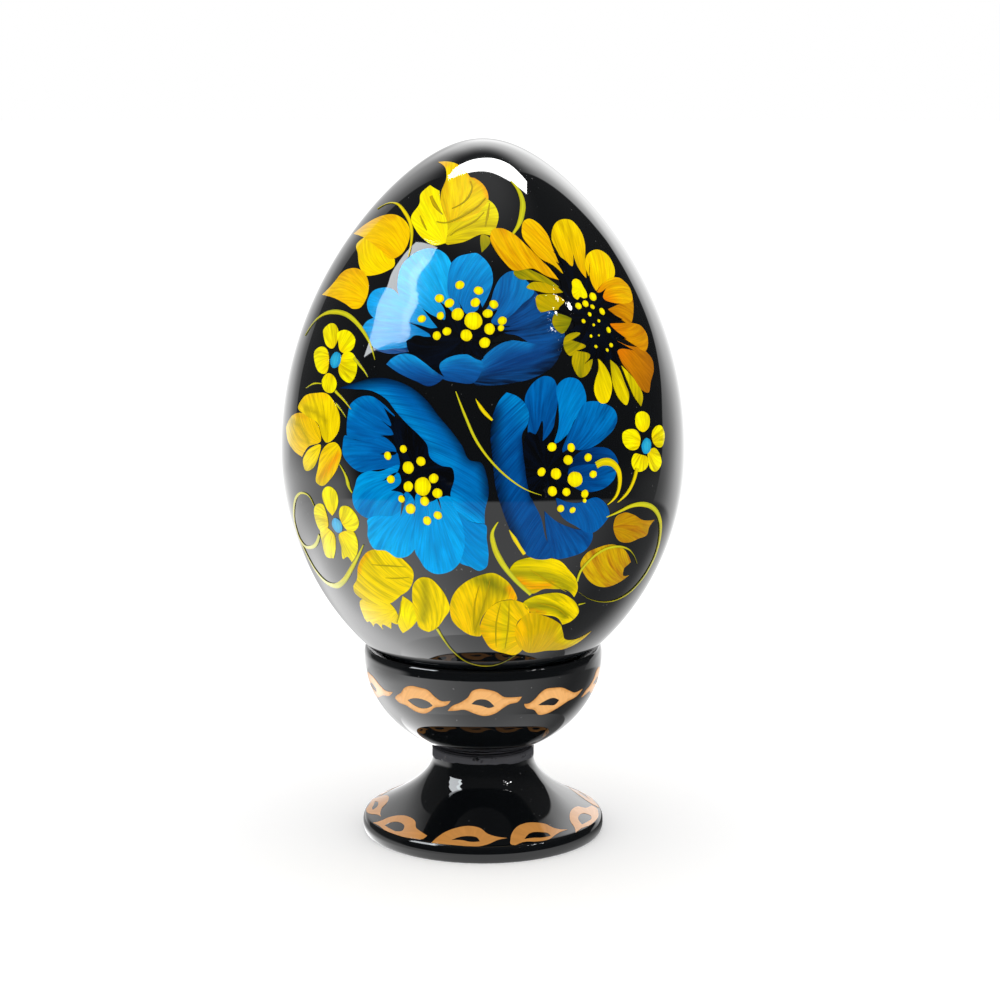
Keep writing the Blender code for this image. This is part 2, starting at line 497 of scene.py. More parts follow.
def smooth_path(points, spacing, closed):
    """A smooth line through (x, y, corner) points; a corner flag keeps that point sharp."""
    p = np.array([q[:2] for q in points], float)
    sharp = [len(q) > 2 and bool(q[2]) for q in points]
    n = len(p)
    spans = n if closed else n - 1

    def tangent(i):
        if sharp[i] or (not closed and i in (0, n - 1)):
            return None
        before, after = p[i] - p[i - 1], p[(i + 1) % n] - p[i]
        a, b = max(np.hypot(*before), 1e-6), max(np.hypot(*after), 1e-6)
        return (before / a * b + after / b * a) / (a + b)

    line = []
    for i in range(spans):
        start, end = p[i], p[(i + 1) % n]
        size = max(float(np.hypot(*(end - start))), 1e-6)
        chord = (end - start) / size
        leave, arrive = tangent(i), tangent((i + 1) % n)
        if leave is None and arrive is None:
            leave = arrive = chord
        elif leave is None:
            leave = 1.5 * chord - 0.5 * arrive
        elif arrive is None:
            arrive = 1.5 * chord - 0.5 * leave
        count = max(1, math.ceil(size / spacing))
        for k in range(count):
            u = k / count
            line.append((2 * u ** 3 - 3 * u ** 2 + 1) * start + (u ** 3 - 2 * u ** 2 + u) * size * leave
                        + (3 * u ** 2 - 2 * u ** 3) * end + (u ** 3 - u ** 2) * size * arrive)
    if not closed:
        line.append(p[-1])
    return np.array(line)


def inside(points, loops):
    """Even-odd test of points against closed loops."""
    odd = np.zeros(len(points), bool)
    x, y = points[:, 0:1], points[:, 1:2]
    for loop in loops:
        a, b = loop, np.roll(loop, -1, 0)
        crosses = (a[:, 1] > y) != (b[:, 1] > y)
        with np.errstate(divide='ignore', invalid='ignore'):
            at = a[:, 0] + (y - a[:, 1]) * (b[:, 0] - a[:, 0]) / (b[:, 1] - a[:, 1])
        odd ^= (np.sum(crosses & (x < at), 1) % 2).astype(bool)
    return odd


def read_tone(tone):
    """A tone is written 'root middle tip / streak' in colour names, or 'paint / streak' for an even one."""
    ramp, streak = tone.split("/")
    return ramp.split(), streak.strip()


def blend_colours(names, share):
    """Colour at share 0..1 along a list of colour names, mixed as display values."""
    table = np.array([COLOURS[n] for n in names], float) / 255
    at = np.linspace(0, 1, len(names))
    return np.stack([np.interp(share, at, table[:, i]) for i in range(3)], 1)


def distance_to_line(points, line):
    best = np.full(len(points), 1e9)
    for a, b in zip(line, line[1:]):
        span = b - a
        t = np.clip(((points - a) @ span) / max(span @ span, 1e-9), 0, 1)
        best = np.minimum(best, np.hypot(*(points - a - t[:, None] * span).T))
    return best


SWIRL = 0.09                    # how much the bristle marks may curl, in radians for each mm


def pattern_shift():
    x, y = (rng.uniform(-PATTERN_SHIFT, PATTERN_SHIFT) for _ in range(2))
    return np.array([x, y, 0.0])


class Painting:
    """One piece made of many strokes on one skin."""

    def __init__(self, name, body, slot, material, skin=EGG, base=0):
        self.name, self.body, self.slot, self.material = name, body, slot, material
        self.skin, self.base = skin, base
        self.points, self.normals, self.faces = [], [], []
        self.paint, self.streak, self.bristle = [], [], []
        self.count = 0

    def chart(self, lon0, z0):
        """Local flat coordinates in mm around a place, and the way back."""
        s0 = float(self.skin.along(z0))
        k = math.radians(1) * float(self.skin.radius(s0))
        return (lambda lon, z: np.stack([(np.asarray(lon, float) - lon0) * k, self.skin.along(z) - s0], -1),
                lambda q: (q[:, 0] / k + lon0, q[:, 1] + s0))

    def sheet(self, flat, triangles, lift, back, paint, streak, strength, bristle):
        """A thin closed shell: the top sheet, an underside sunk in the lacquer, and a wall round it."""
        lon, s = back(flat)
        top, normal = self.skin.place(lon, s, lift)
        under, _ = self.skin.place(lon, s, -SUNK)
        n, start = len(flat), self.count
        edges = {}
        for a, b, c in triangles:
            for e in ((a, b), (b, c), (c, a)):
                edges[e] = True
        self.faces += [(start + a, start + b, start + c) for a, b, c in triangles]
        self.faces += [(start + n + c, start + n + b, start + n + a) for a, b, c in triangles]
        self.faces += [(start + b, start + a, start + n + a, start + n + b)
                       for a, b in edges if (b, a) not in edges]
        self.points += [top, under]
        self.normals += [normal, -normal]
        colour = np.concatenate([to_linear(paint), np.ones((n, 1))], 1)
        marks = np.concatenate([np.tile(to_linear(streak), (n, 1)), np.full((n, 1), float(strength))], 1)
        self.paint += [colour, colour]
        self.streak += [marks, marks]
        self.bristle += [bristle, bristle]
        self.count += 2 * n

    def stroke(self, tone, layer, root, outline, fade=None, glows=(), hole=None, strength=0.75):
        """A patch of paint. root is where its bristle marks run from; fade is the pair of places between
        which its colours run, in place of running out from the root; glows are (path, colour, width);
        strength is how strong its bristle marks are."""
        lon0 = sum(q[0] for q in outline) / len(outline)
        z0 = sum(q[1] for q in outline) / len(outline)
        there, back = self.chart(lon0, z0)

        def flat_path(path, spacing, closed):
            return smooth_path([tuple(there(q[0], q[1])) + tuple(q[2:]) for q in path], spacing, closed)

        loops = [flat_path(outline, EDGE_GRAIN, True)]
        if hole:
            loops.append(flat_path(hole, EDGE_GRAIN, True))
        rim = np.concatenate(loops)
        low, high = rim.min(0), rim.max(0)
        rows = np.arange(low[1], high[1], GRAIN * ROW_SHARE)
        grid = np.array([(x + GRAIN / 2 * (i % 2), y) for i, y in enumerate(rows)
                         for x in np.arange(low[0], high[0], GRAIN)]).reshape(-1, 2)
        grid = grid[inside(grid, loops)] if len(grid) else grid
        if len(grid):
            gap = np.min(np.hypot(grid[:, None, 0] - rim[None, :, 0], grid[:, None, 1] - rim[None, :, 1]), 1)
            grid = grid[gap > RIM_SHARE * GRAIN]
        ties, first = [], 0
        for loop in loops:
            ties += [(first + i, first + (i + 1) % len(loop)) for i in range(len(loop))]
            first += len(loop)
        made = delaunay_2d_cdt([tuple(map(float, q)) for q in np.concatenate([rim, grid])], ties, [], 0, 1e-5)
        flat = np.array([tuple(v) for v in made[0]])
        triangles = np.array([tuple(f) for f in made[2]])
        triangles = [tuple(map(int, f)) for f in triangles[inside(flat[triangles].mean(1), loops)]]
        used = sorted({i for f in triangles for i in f})
        renumber = {old: new for new, old in enumerate(used)}
        flat = flat[used]
        triangles = [tuple(renumber[i] for i in f) for f in triangles]
        a, b, c = (flat[list(x)] for x in zip(*triangles))
        area = (b[:, 0] - a[:, 0]) * (c[:, 1] - a[:, 1]) - (b[:, 1] - a[:, 1]) * (c[:, 0] - a[:, 0])
        triangles = [f if s > 0 else f[::-1] for f, s in zip(triangles, area)]

        from_root = flat - there(*root)
        distance = np.hypot(*from_root.T)
        middle = flat.mean(0) - there(*root)
        side = np.array((-middle[1], middle[0])) / max(np.hypot(*middle), 1e-6)
        angle = np.arctan2(from_root @ side, from_root @ (middle / max(np.hypot(*middle), 1e-6)))
        angle = angle + rng.uniform(-SWIRL, SWIRL) * (distance - float(np.mean(distance)))
        bristle = np.stack([angle * float(np.mean(distance)), distance, np.zeros(len(flat))], 1)
        bristle += pattern_shift()
        names, streak = read_tone(tone)
        if fade:
            start, end = there(*fade[0]), there(*fade[1])
            share = (flat - start) @ (end - start) / max(float((end - start) @ (end - start)), 1e-9)
        else:
            share = (distance - distance.min()) / max(float(np.ptp(distance)), 1e-6)
        paint = blend_colours(names, np.clip(share, 0, 1))
        for path, colour, width in glows:
            near = distance_to_line(flat, flat_path(path, 0.4, False)) / width
            weight = np.clip(1 - near, 0, 1) ** GLOW_POWER
            paint += (np.array(COLOURS[colour]) / 255 - paint) * weight[:, None]
        lift = BASE_LIFT + LAYER_LIFT * (self.base + layer)
        self.sheet(flat, triangles, lift, back, paint, np.array(COLOURS[streak]) / 255, strength, bristle)

    def line(self, tone, layer, widths, path):
        """A drawn line; widths are half-widths in mm, spread evenly along it."""
        lon0, z0 = (sum(q[i] for q in path) / len(path) for i in (0, 1))
        there, back = self.chart(lon0, z0)
        centre = smooth_path([tuple(there(q[0], q[1])) for q in path], 0.3, False)
        tangent = np.gradient(centre, axis=0)
        tangent /= np.maximum(np.hypot(*tangent.T), 1e-9)[:, None]
        side = np.stack([-tangent[:, 1], tangent[:, 0]], 1)
        run = np.concatenate([[0], np.cumsum(np.hypot(*np.diff(centre, axis=0).T))])
        half = np.interp(run / run[-1], np.linspace(0, 1, len(widths)), widths)
        lon, s = back(centre)
        # the chart is true to scale only at its own height, so widths along the longitude are rescaled
        squeeze = float(self.skin.radius(float(self.skin.along(z0)))) / self.skin.radius(s)
        across = np.linspace(-1, 1, ACROSS)
        scaled = side * np.stack([squeeze, np.ones(len(s))], 1)
        flat = (centre[:, None] + across[None, :, None] * (scaled * half[:, None])[:, None]).reshape(-1, 2)
        triangles = []
        for i in range(len(centre) - 1):
            for k in range(ACROSS - 1):
                q = ACROSS * i + k
                triangles += [(q, q + ACROSS, q + ACROSS + 1), (q, q + ACROSS + 1, q + 1)]
        a, b, c = (flat[list(x)] for x in zip(*triangles[:8]))
        area = (b[:, 0] - a[:, 0]) * (c[:, 1] - a[:, 1]) - (b[:, 1] - a[:, 1]) * (c[:, 0] - a[:, 0])
        if area.sum() < 0:
            triangles = [f[::-1] for f in triangles]
        share = np.repeat(run / run[-1], ACROSS)
        names, streak = read_tone(tone)
        bristle = np.stack([np.tile(across, len(centre)) * 0.5, np.repeat(run, ACROSS),
                            np.zeros(len(flat))], 1)
        bristle += pattern_shift()
        bead = np.tile((0.0, 0.02, 0.03, 0.02, 0.0), len(centre))
        lift = BASE_LIFT + LAYER_LIFT * (self.base + layer) + bead
        paint = blend_colours(names, share) * (1 - EDGE_SHADE * np.tile(across ** 2, len(centre)))[:, None]
        self.sheet(flat, triangles, lift, back, paint, np.array(COLOURS[streak]) / 255, 0.6, bristle)

    def dot(self, tone, layer, lon, z, radius, tall=None, height=0.09):
        """A bead of paint, slightly out of round."""
        there, back = self.chart(lon, z)
        sides, rings = 18, (0.45, 0.8, 1.0)
        start, wave = rng.uniform(0, 6.28), rng.uniform(0.02, 0.07)
        flat, share = [(0.0, 0.0)], [0.0]
        for ring in rings:
            for i in range(sides):
                a = 2 * math.pi * i / sides
                r = ring * (1 + wave * math.sin(2 * a + start) + 0.02 * math.sin(5 * a - start))
                flat.append((r * radius * math.cos(a), r * (tall or radius) * math.sin(a)))
                share.append(ring)
        triangles = [(0, 1 + i, 1 + (i + 1) % sides) for i in range(sides)]
        for level in range(len(rings) - 1):
            for i in range(sides):
                a, b = 1 + level * sides, 1 + (level + 1) * sides
                j = (i + 1) % sides
                triangles += [(a + i, b + i, b + j), (a + i, b + j, a + j)]
        flat, share = np.array(flat), np.array(share)
        names, streak = read_tone(tone)
        bristle = np.stack([flat[:, 0], flat[:, 1], np.zeros(len(flat))], 1)
        bristle += rng.uniform(-PATTERN_SHIFT, PATTERN_SHIFT)
        lift = BASE_LIFT + LAYER_LIFT * (self.base + layer) + height * np.sqrt(np.clip(1 - share ** 2, 0, 1))
        self.sheet(flat, triangles, lift, back, blend_colours(names, share), np.array(COLOURS[streak]) / 255,
                   0.4, bristle)

    def build(self):
        mesh = bpy.data.meshes.new(self.name)
        mesh.from_pydata((np.concatenate(self.points) * MM).tolist(), [], self.faces)
        for name, kind, parts in (("paint", 'FLOAT_COLOR', self.paint),
                                  ("streak", 'FLOAT_COLOR', self.streak),
                                  ("bristle", 'FLOAT_VECTOR', self.bristle)):
            attribute = mesh.attributes.new(name, kind, 'POINT')
            key = "vector" if kind == 'FLOAT_VECTOR' else "color"
            attribute.data.foreach_set(key, np.concatenate(parts).astype(np.float32).ravel())
        mesh.materials.append(self.material)
        mesh.polygons.foreach_set("use_smooth", [True] * len(mesh.polygons))
        mesh.normals_split_custom_set_from_vertices(np.concatenate(self.normals).tolist())
        obj = link(bpy.data.objects.new(self.name, mesh))
        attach(obj, self.body)
        return obj


BLUE = paint_material("blue_brushed_paint", 0.5, sheen=0.12, rough=0.2)
SATIN_BLUE = paint_material("blue_satin_paint", 0.1)
YELLOW = paint_material("yellow_brushed_paint", 0.22)
YELLOW_GLOSS = paint_material("yellow_gloss_paint", 0.6)
YELLOW_SATIN = paint_material("yellow_satin_paint", 0.08)
GREEN = paint_material("green_line_paint", 0.3, fine=3.0)
INK = paint_material("black_line_paint", 0.8, relief=0.15)
COPPER = paint_material("copper_paint", 0.35, fine=2.0, broad=0.8, relief=0.2, uneven=0.4)
COPPER_GLOSS = paint_material("copper_gloss_paint", 1.0, fine=2.0, broad=0.8, relief=0.2, uneven=0.4)


def on_egg(name, slot, material, base):
    return Painting(name, "egg_body", slot, material, EGG, base)


def dark_centre(name, base, root, outline):
    """The black middle of a flower, with points that run out between its petals."""
    painting = on_egg(name, "black_paint", INK, base)
    painting.stroke("black / ink", 0, root, outline)
    painting.build()


def beads(painting, places):
    """Yellow stamens, each (longitude, height, radius)."""
    for lon, z, radius in places:
        painting.dot("lemon lemon pear / yellow", 0, lon, z, radius)
    painting.build()


FOLD_WIDTH = 1.7                # the brushed folds on the leaves, against the widths given with them


def folds(painting, lines):
    """Brushed folds over the leaves, each (half-widths, path)."""
    for widths, path in lines:
        painting.line("mustard khaki / olive", 6, [FOLD_WIDTH * w for w in widths], path)


def curls(name, base, lines):
    """One piece of curls and stems, each (tone, half-widths, path)."""
    painting = on_egg(name, "green_paint", GREEN, base)
    for tone, widths, path in lines:
        painting.line(tone, 0, widths, path)
    painting.build()


def flower_eye(name, base, lon, z, wide, tall):
    """The blue dot in the middle of a small flower."""
    painting = on_egg("small_flower_" + name + "_eye", "blue_paint", BLUE, base)
    painting.dot("turquoise turquoise teal / sky", 0, lon, z, wide, tall, 0.06)
    painting.build()


# ---------------------------------------------------------------- upper poppy

poppy = on_egg("upper_poppy_petals", "blue_paint", BLUE, 0)
poppy.stroke("midnight navy ultra / royal", 0, (-6, 60.3),
    [(-0.5, 62.5), (3, 63.9), (7.5, 64.7), (14.5, 64.6), (19.5, 65.8), (23.5, 66.9), (25.5, 65.6),
     (23.5, 63.3), (20.5, 61.8), (14, 60.5), (8, 60), (2, 59.8), (-2.5, 60), (-1, 61.3)],
    fade=((9, 59.3), (6, 64.6)),
    glows=[([(-2, 61.6), (0, 62.6), (4, 63.9), (8, 64.5), (13, 64.5)], "azure", 1.4),
           ([(-2, 59.6), (2, 59.5), (10, 59.7), (17, 60.6), (23, 62.5), (26, 65.2)], "ink", 2.3)])
poppy.stroke("navy ultra bright / royal", 1, (-8.5, 60.3),
    [(-29, 61.8, 1), (-27, 62.6), (-23.5, 63.1), (-21, 63), (-17.5, 62.3), (-14, 61.4), (-11, 60.6, 1),
     (-13, 59.9), (-15, 59.6), (-19, 60.1), (-24.5, 60.9)],
    fade=((-20, 59.7), (-21, 63)),
    glows=[([(-27, 62.4), (-23.5, 63), (-19, 62.7), (-14, 61.5)], "bright", 0.9)])
poppy.stroke("navy ultra azure / royal", 2, (-17, 61.2),
    [(-13, 61.9, 1), (-11.5, 62.5), (-8, 63.1), (-4.5, 63.2), (-2, 62.7), (0, 62.4), (-0.5, 61.3),
     (-2.5, 60.1), (-7, 60.1), (-12, 60.7)],
    fade=((-6, 59.7), (-6, 63.2)),
    glows=[([(-12.5, 61.9), (-8, 62.9), (-4.5, 63), (-1, 62.4)], "bright", 0.9)])
poppy.stroke("midnight royal royal / navy", 1, (-11.5, 64.1),
    [(-34, 63.4), (-29, 63), (-22.5, 63.3), (-18, 63.8, 1), (-21, 64.5), (-27.5, 63.8)])
poppy.stroke("lapis bright sky / azure", 2, (-8.5, 65.6),
    [(-15.5, 64.8, 1), (-22, 64.9), (-22.5, 64), (-27, 63.6), (-34, 63.5), (-36.5, 64.2), (-40.5, 65.6),
     (-39.5, 66.3), (-36, 66.9), (-29, 66.8), (-23, 66.6), (-18.5, 66.2)])
poppy.stroke("azure sky sky / bright", 3, (-8.5, 65.9),
    [(-14, 66.1, 1), (-16.5, 66), (-22.5, 66.6), (-29, 66.5), (-36, 66.7), (-39.5, 67.4), (-41.5, 68.4),
     (-41, 69.6), (-37, 70.2), (-32.5, 70.1), (-28.5, 69.3), (-23, 68.4), (-18.5, 67.8)])
poppy.stroke("navy royal royal / midnight", 2, (-4, 65.5),
    [(17.5, 70.1), (20.5, 68.6), (23.5, 67.6), (25.5, 66.1), (22, 64.7), (14.5, 64.4), (10, 65.3), (7, 65.5),
     (4, 66.1), (8.5, 67.4), (13.5, 68.8)])
poppy.stroke("ultra cobalt azure / royal", 3, (-4.5, 65.5),
    [(2.5, 69), (4, 70.5), (6.5, 71.7), (10, 72.3), (11.5, 72.3), (15, 71.4), (17.5, 70.1), (13, 68.7),
     (8.5, 67.4), (3.5, 66.3), (-1, 66.6)])
poppy.stroke("azure cyan cyan / bright", 4, (-8.5, 65.5),
    [(-29.5, 69.6), (-31.5, 71.2), (-31.5, 72.9), (-28.5, 74), (-23.5, 74.7), (-17.5, 74.6), (-14, 74),
     (-12, 73.2, 1), (-12.5, 71.6), (-11.5, 69.8), (-9.5, 68), (-10, 67.1), (-14, 66.7, 1), (-21, 68.1)])
poppy.stroke("cobalt azure sky / cobalt", 5, (-5, 64.5),
    [(-12, 73.2, 1), (-9.5, 73.9), (-6, 74.2), (-2.5, 74.3), (0.5, 73.7), (3, 72.6), (3.5, 71.4), (2, 69.8),
     (-0.5, 68.2), (-2.5, 67.1), (-6.5, 67.1), (-10, 68.5), (-12, 70.1), (-12.5, 71.7)])
poppy.build()

dark_centre("upper_poppy_centre", 7, (-6, 65),
    [(-23.5, 64.5, 1), (-21.5, 64.9), (-15.5, 65.2), (-16.5, 65.4), (-24, 66.6, 1), (-20, 66.3), (-14, 66),
     (-16, 66.8), (-20, 68.2, 1), (-14.5, 67.2), (-12, 67), (-12, 67.7), (-14.5, 69, 1), (-10, 67.9),
     (-9.5, 67.7), (-7.5, 68), (-10, 69.8, 1), (-7, 68.5), (-5.5, 67.7), (-1.5, 68.2), (-1.5, 69.3, 1),
     (0, 68.2), (0.5, 67.7), (4.5, 68.1), (2.5, 66.8), (8.5, 66.3, 1), (4.5, 66), (11, 65.8, 1), (4.5, 65.3),
     (2.5, 64.7), (8.5, 64.7, 1), (1.5, 64), (0, 62.7, 1), (-2.5, 63.1), (-6.5, 63.2), (-10.5, 62.9),
     (-12.5, 62), (-11, 60.7, 1), (-14.5, 61.5), (-18.5, 62.8), (-21.5, 63.1)])

stamens = on_egg("upper_poppy_stamens", "yellow_paint", YELLOW, 9)
beads(stamens, ((-8, 70.8, .53), (-1.5, 70.2, .53), (-14.5, 69.3, .53), (-11, 68.8, .55), (-2.5, 68.9, .55),
     (3.5, 68.7, .51), (-13.5, 67.4, .45), (-8, 67.6, .73), (-3, 66.9, 1.04), (-19.5, 67, .48),
     (1.5, 67.7, .55), (6, 66.9, .51), (2, 66, .64), (5.5, 66.1, .37), (-11, 65.7, .5), (-14, 65.2, .5),
     (-5, 65.3, .68), (0.5, 64.5, .62)))

# ---------------------------------------------------------------- left poppy

poppy = on_egg("left_poppy_petals", "blue_paint", SATIN_BLUE, 1)
poppy.stroke("ultra cobalt cobalt / royal", 1, (-18.5, 53.9),
    [(-39.5, 56.9), (-38, 57.5), (-35.5, 58), (-32.5, 58.1), (-29, 57.5), (-26, 56.6), (-24.5, 56),
     (-25.5, 55.8), (-24, 54.9), (-25.5, 54.9), (-24.5, 53.8), (-27.5, 53.7), (-31, 53.2), (-36, 53),
     (-39.5, 53.3), (-40, 54.4), (-40, 55.6)],
    glows=[([(-39.5, 55.5), (-37, 57.3), (-32.5, 57.9)], "azure", 1.0)])
poppy.stroke("ultra cobalt lapis / royal", 2, (-17, 51.3),
    [(-40.5, 53.3), (-37.5, 53), (-31, 53.2), (-27.5, 53.6), (-25, 53), (-23, 51.9, 1), (-23, 51.8),
     (-22.5, 50.5), (-25.5, 50.1), (-30, 49.7), (-34.5, 49.3), (-38, 49.9), (-41, 51.3), (-41, 52.2)])
poppy.stroke("lapis bright bright / cobalt", 3, (-16.5, 48.7),
    [(-36.5, 47.5), (-35.5, 48.6), (-32, 49.5), (-28.5, 49.6), (-25.5, 50.1), (-22.5, 50.5), (-21.5, 49.5),
     (-18.5, 47.8), (-20, 46.5), (-22.5, 45), (-25, 44.5), (-31.5, 43.8), (-35, 44.2), (-37, 45),
     (-37.5, 46.3)])
poppy.stroke("azure sky cyan / azure", 4, (-15.5, 47.7),
    [(-33, 43.6), (-30, 44.3), (-25, 44.5), (-21.5, 45.6), (-18.5, 47.5), (-15, 46.1), (-14.5, 44.4),
     (-16.5, 42.5), (-19.5, 40.4), (-21, 39.8), (-25, 39.4), (-28, 40.1), (-32, 40.2), (-33.5, 41.7),
     (-33, 42.9)])
poppy.stroke("bright sky sky / azure", 5, (-14, 48.4),
    [(-19, 40.2), (-17, 42.3), (-15, 44.4), (-14.5, 46.3), (-13, 46.6), (-11, 47.1), (-9, 47.2), (-7, 45.5),
     (-5.5, 43.9), (-5, 41.3), (-6.5, 39.2, 1), (-8.5, 38.3), (-11, 37.8), (-14, 37.7), (-16.5, 38.3),
     (-18, 39.4)])
poppy.stroke("azure azure bright / lapis", 4, (-10, 48.5),
    [(-8.5, 47.2), (-7, 45.9), (-5, 44.6), (-1, 44), (0.5, 43.9), (1, 42.2), (1.5, 39.8), (1, 38.7),
     (-1, 38.2), (-3.5, 38.7), (-6.5, 39.2), (-6, 41.3), (-7, 43.9), (-9, 45.9)])
poppy.stroke("ultra cobalt lapis / navy", 7, (2.5, 33.2),
    [(-44.5, 58.6, 1), (-39, 59.4), (-31.5, 60.2), (-26, 60.1), (-19.5, 59.2), (-15, 57.8), (-12, 56.3),
     (-8.5, 54.7), (-5.5, 53), (-3.5, 51.4), (-0.5, 51.1), (1, 49.5), (1.5, 47.6), (0.5, 45.4), (0.5, 44, 1),
     (-1.5, 44.1), (-5, 44.6), (-8, 46.4), (-8.5, 47.2), (-7.5, 49.5), (-8, 50.4), (-11, 50.7), (-14, 51.6),
     (-15, 53.1), (-17, 54), (-20.5, 55.2), (-24, 56.5), (-27.5, 57.9), (-32.5, 58.7), (-38.5, 58.7)],
    fade=((-18, 60.5), (-6, 43)),
    glows=[([(-38, 58.8), (-32.5, 58.8), (-27.5, 58.1), (-24, 57), (-18.5, 55.2), (-14.5, 53.6),
       (-12.5, 52.2), (-8.5, 50.9)], "azure", 1.6),
           ([(-1, 44.1), (-5, 44.7), (-8, 46.5)], "sky", 1.8),
           ([(-44, 58.8), (-31.5, 60.3), (-26, 60.4), (-19.5, 59.6), (-12, 56.8), (-5.3, 53.5), (-3, 51.9),
       (0, 51.3), (1.6, 49.6), (2, 47.5)], "ink", 1.5)], strength=0.5)
poppy.build()

dark_centre("left_poppy_centre", 7, (-17, 50),
    [(-24.5, 56), (-20.5, 55.2), (-17, 54), (-15, 53.1), (-14, 51.6), (-11, 50.7), (-7.8, 50.4),
     (-7.5, 49.1), (-8.5, 47.7), (-11, 47.1), (-12.5, 47.9), (-11, 45.5, 1), (-12.5, 47.1), (-14, 46.8),
     (-14.5, 44.8, 1), (-15.5, 46.7), (-17, 47.4), (-18.5, 44.5, 1), (-19, 47), (-20, 47.4),
     (-22.5, 44.5, 1), (-21.5, 47.2), (-25, 47.5, 1), (-22, 48.7), (-22.5, 49.5), (-27.5, 48.5, 1),
     (-23, 49.8), (-22.5, 50.3), (-23, 51.8), (-28.5, 51.6, 1), (-23.5, 51.9), (-25, 53.3), (-28.5, 53.8, 1),
     (-24.5, 54), (-28.5, 55.5, 1), (-25.5, 54.9), (-28, 56.9, 1)])

stamens = on_egg("left_poppy_stamens", "yellow_paint", YELLOW, 9)
beads(stamens, ((-21.5, 52.4, .44), (-26, 51.5, .47), (-16.5, 51.1, .54), (-20, 50.3, .70), (-13, 49.2, .56),
     (-25, 48.8, .49), (-20, 48.1, .60), (-16, 48.2, 1.03), (-12, 47.5, .58), (-22, 46.6, .42),
     (-15.5, 46.5, .54), (-19.5, 45.5, .61), (-12, 44.9, .49), (-15, 44.2, .51)))

# ---------------------------------------------------------------- right poppy

poppy = on_egg("right_poppy_petals", "blue_paint", SATIN_BLUE, 1)
poppy.stroke("royal ultra cobalt / navy", 1, (15, 52.2),
    [(11.5, 58.2), (13, 59.5), (15.5, 60.4), (17.5, 60.7), (20, 60.4), (21, 59.5), (21, 58), (20, 56.4),
     (19, 54.8), (16, 53.4, 1), (16, 55.7), (14, 54.2), (12, 53.6, 1), (12, 54.9), (12.5, 56.5),
     (11.5, 57.5)])
poppy.stroke("lapis azure lapis / cobalt", 2, (19, 51.1),
    [(21, 59.5), (23, 60.2), (25, 60.4), (28, 60), (29.5, 58.8), (29.5, 57.5), (28, 56.4), (25.5, 55.6),
     (23.5, 54.2), (20, 52.9), (19, 53.1, 1), (20.5, 54.7), (21, 57.2)])
poppy.stroke("royal cobalt lapis / navy", 3, (19.5, 50.7),
    [(29.5, 57.5), (33, 57.5), (36, 57.1), (39, 56.2), (39.5, 55.3), (38, 54.2), (35, 53.3), (32, 52.6),
     (27.5, 52.1), (23, 52.3), (21.5, 52), (23, 53.8), (25.5, 55.5)])
poppy.stroke("midnight navy royal / midnight", 2, (18, 49.8),
    [(24, 51), (27.5, 52.1), (32, 52.3), (36, 51.9), (38, 51.1), (39, 50.1), (35, 50.2), (30, 50.1),
     (23, 49.8)])
poppy.stroke("navy royal cobalt / navy", 3, (19, 49.2),
    [(23, 49.8), (30, 50.4), (35, 50.1), (38, 49.6), (38, 48.7), (36, 47.8), (32, 47.2), (27.5, 47.3),
     (24.5, 48)])
poppy.stroke("royal royal ultra / navy", 4, (15, 46.7),
    [(16.5, 45.3, 1), (20, 44), (25.5, 42.9), (31.5, 42.1), (31.5, 41.2), (30, 40.2), (25.5, 39.5),
     (20, 39.5), (17.5, 42.3)])
poppy.stroke("navy ultra ultra / royal", 5, (16.5, 47.6),
    [(19.5, 46.9, 1), (23, 46.2), (26, 46), (32, 46.4), (35.5, 45.2), (36.5, 44.2), (35, 43.2), (31.5, 42.2),
     (25.5, 43.3), (21.5, 44.5)])
poppy.stroke("royal royal cobalt / navy", 6, (24.5, 27),
    [(6.5, 59, 1), (9.5, 58.5), (11.5, 57.7), (12.5, 56.4), (12, 55.4), (10.5, 54.4), (10.5, 52.6),
     (11, 50.7), (12, 48.5), (13, 46.8), (15.5, 44.6), (17, 42.3), (19.5, 39.6), (15, 39.5), (9.5, 41.2),
     (7, 43.4), (5, 45.7), (3.5, 47.9), (2.5, 51.6), (2, 54.6), (3, 56.9), (5, 58.4)],
    fade=((15, 39), (9, 58)),
    glows=[([(7, 58.6), (10, 57.6), (11.5, 56.4)], "azure", 2.2),
           ([(2.4, 56.5), (1.9, 54), (2.5, 50.5), (3.6, 47.2), (5.6, 44.3), (8.6, 41.3)], "ink", 1.7),
           ([(10.9, 53.5), (10.9, 51), (11.8, 48.7), (13.2, 46.6)], "midnight", 0.9)])
poppy.build()

dark_centre("right_poppy_centre", 8, (17, 50),
    [(12.5, 54.5), (14, 54.2), (16, 55.6, 1), (16, 53.4), (19.5, 54.9, 1), (19.5, 53.1), (23, 54, 1),
     (21.5, 52), (24, 51), (22.5, 49.6), (24, 48.1), (21.5, 46.9), (16.5, 46.9), (13, 46.8), (11.7, 48.5),
     (11, 50.9), (10.7, 52.6)])

stamens = on_egg("right_poppy_stamens", "yellow_paint", YELLOW, 9)
beads(stamens, ((18.5, 52.7, .53), (24, 52.5, .49), (23, 51.1, .57), (29, 51.2, .48), (15.5, 49.9, .49),
     (19.5, 49.6, .64), (25, 48.8, .93), (30.5, 49.2, .46), (18.5, 47.6, .57), (22.5, 47.4, .49),
     (28, 47, .48), (28, 46.2, .26), (21, 45.5, .44), (24.5, 45.2, .37)))

# ---------------------------------------------------------------- daisy

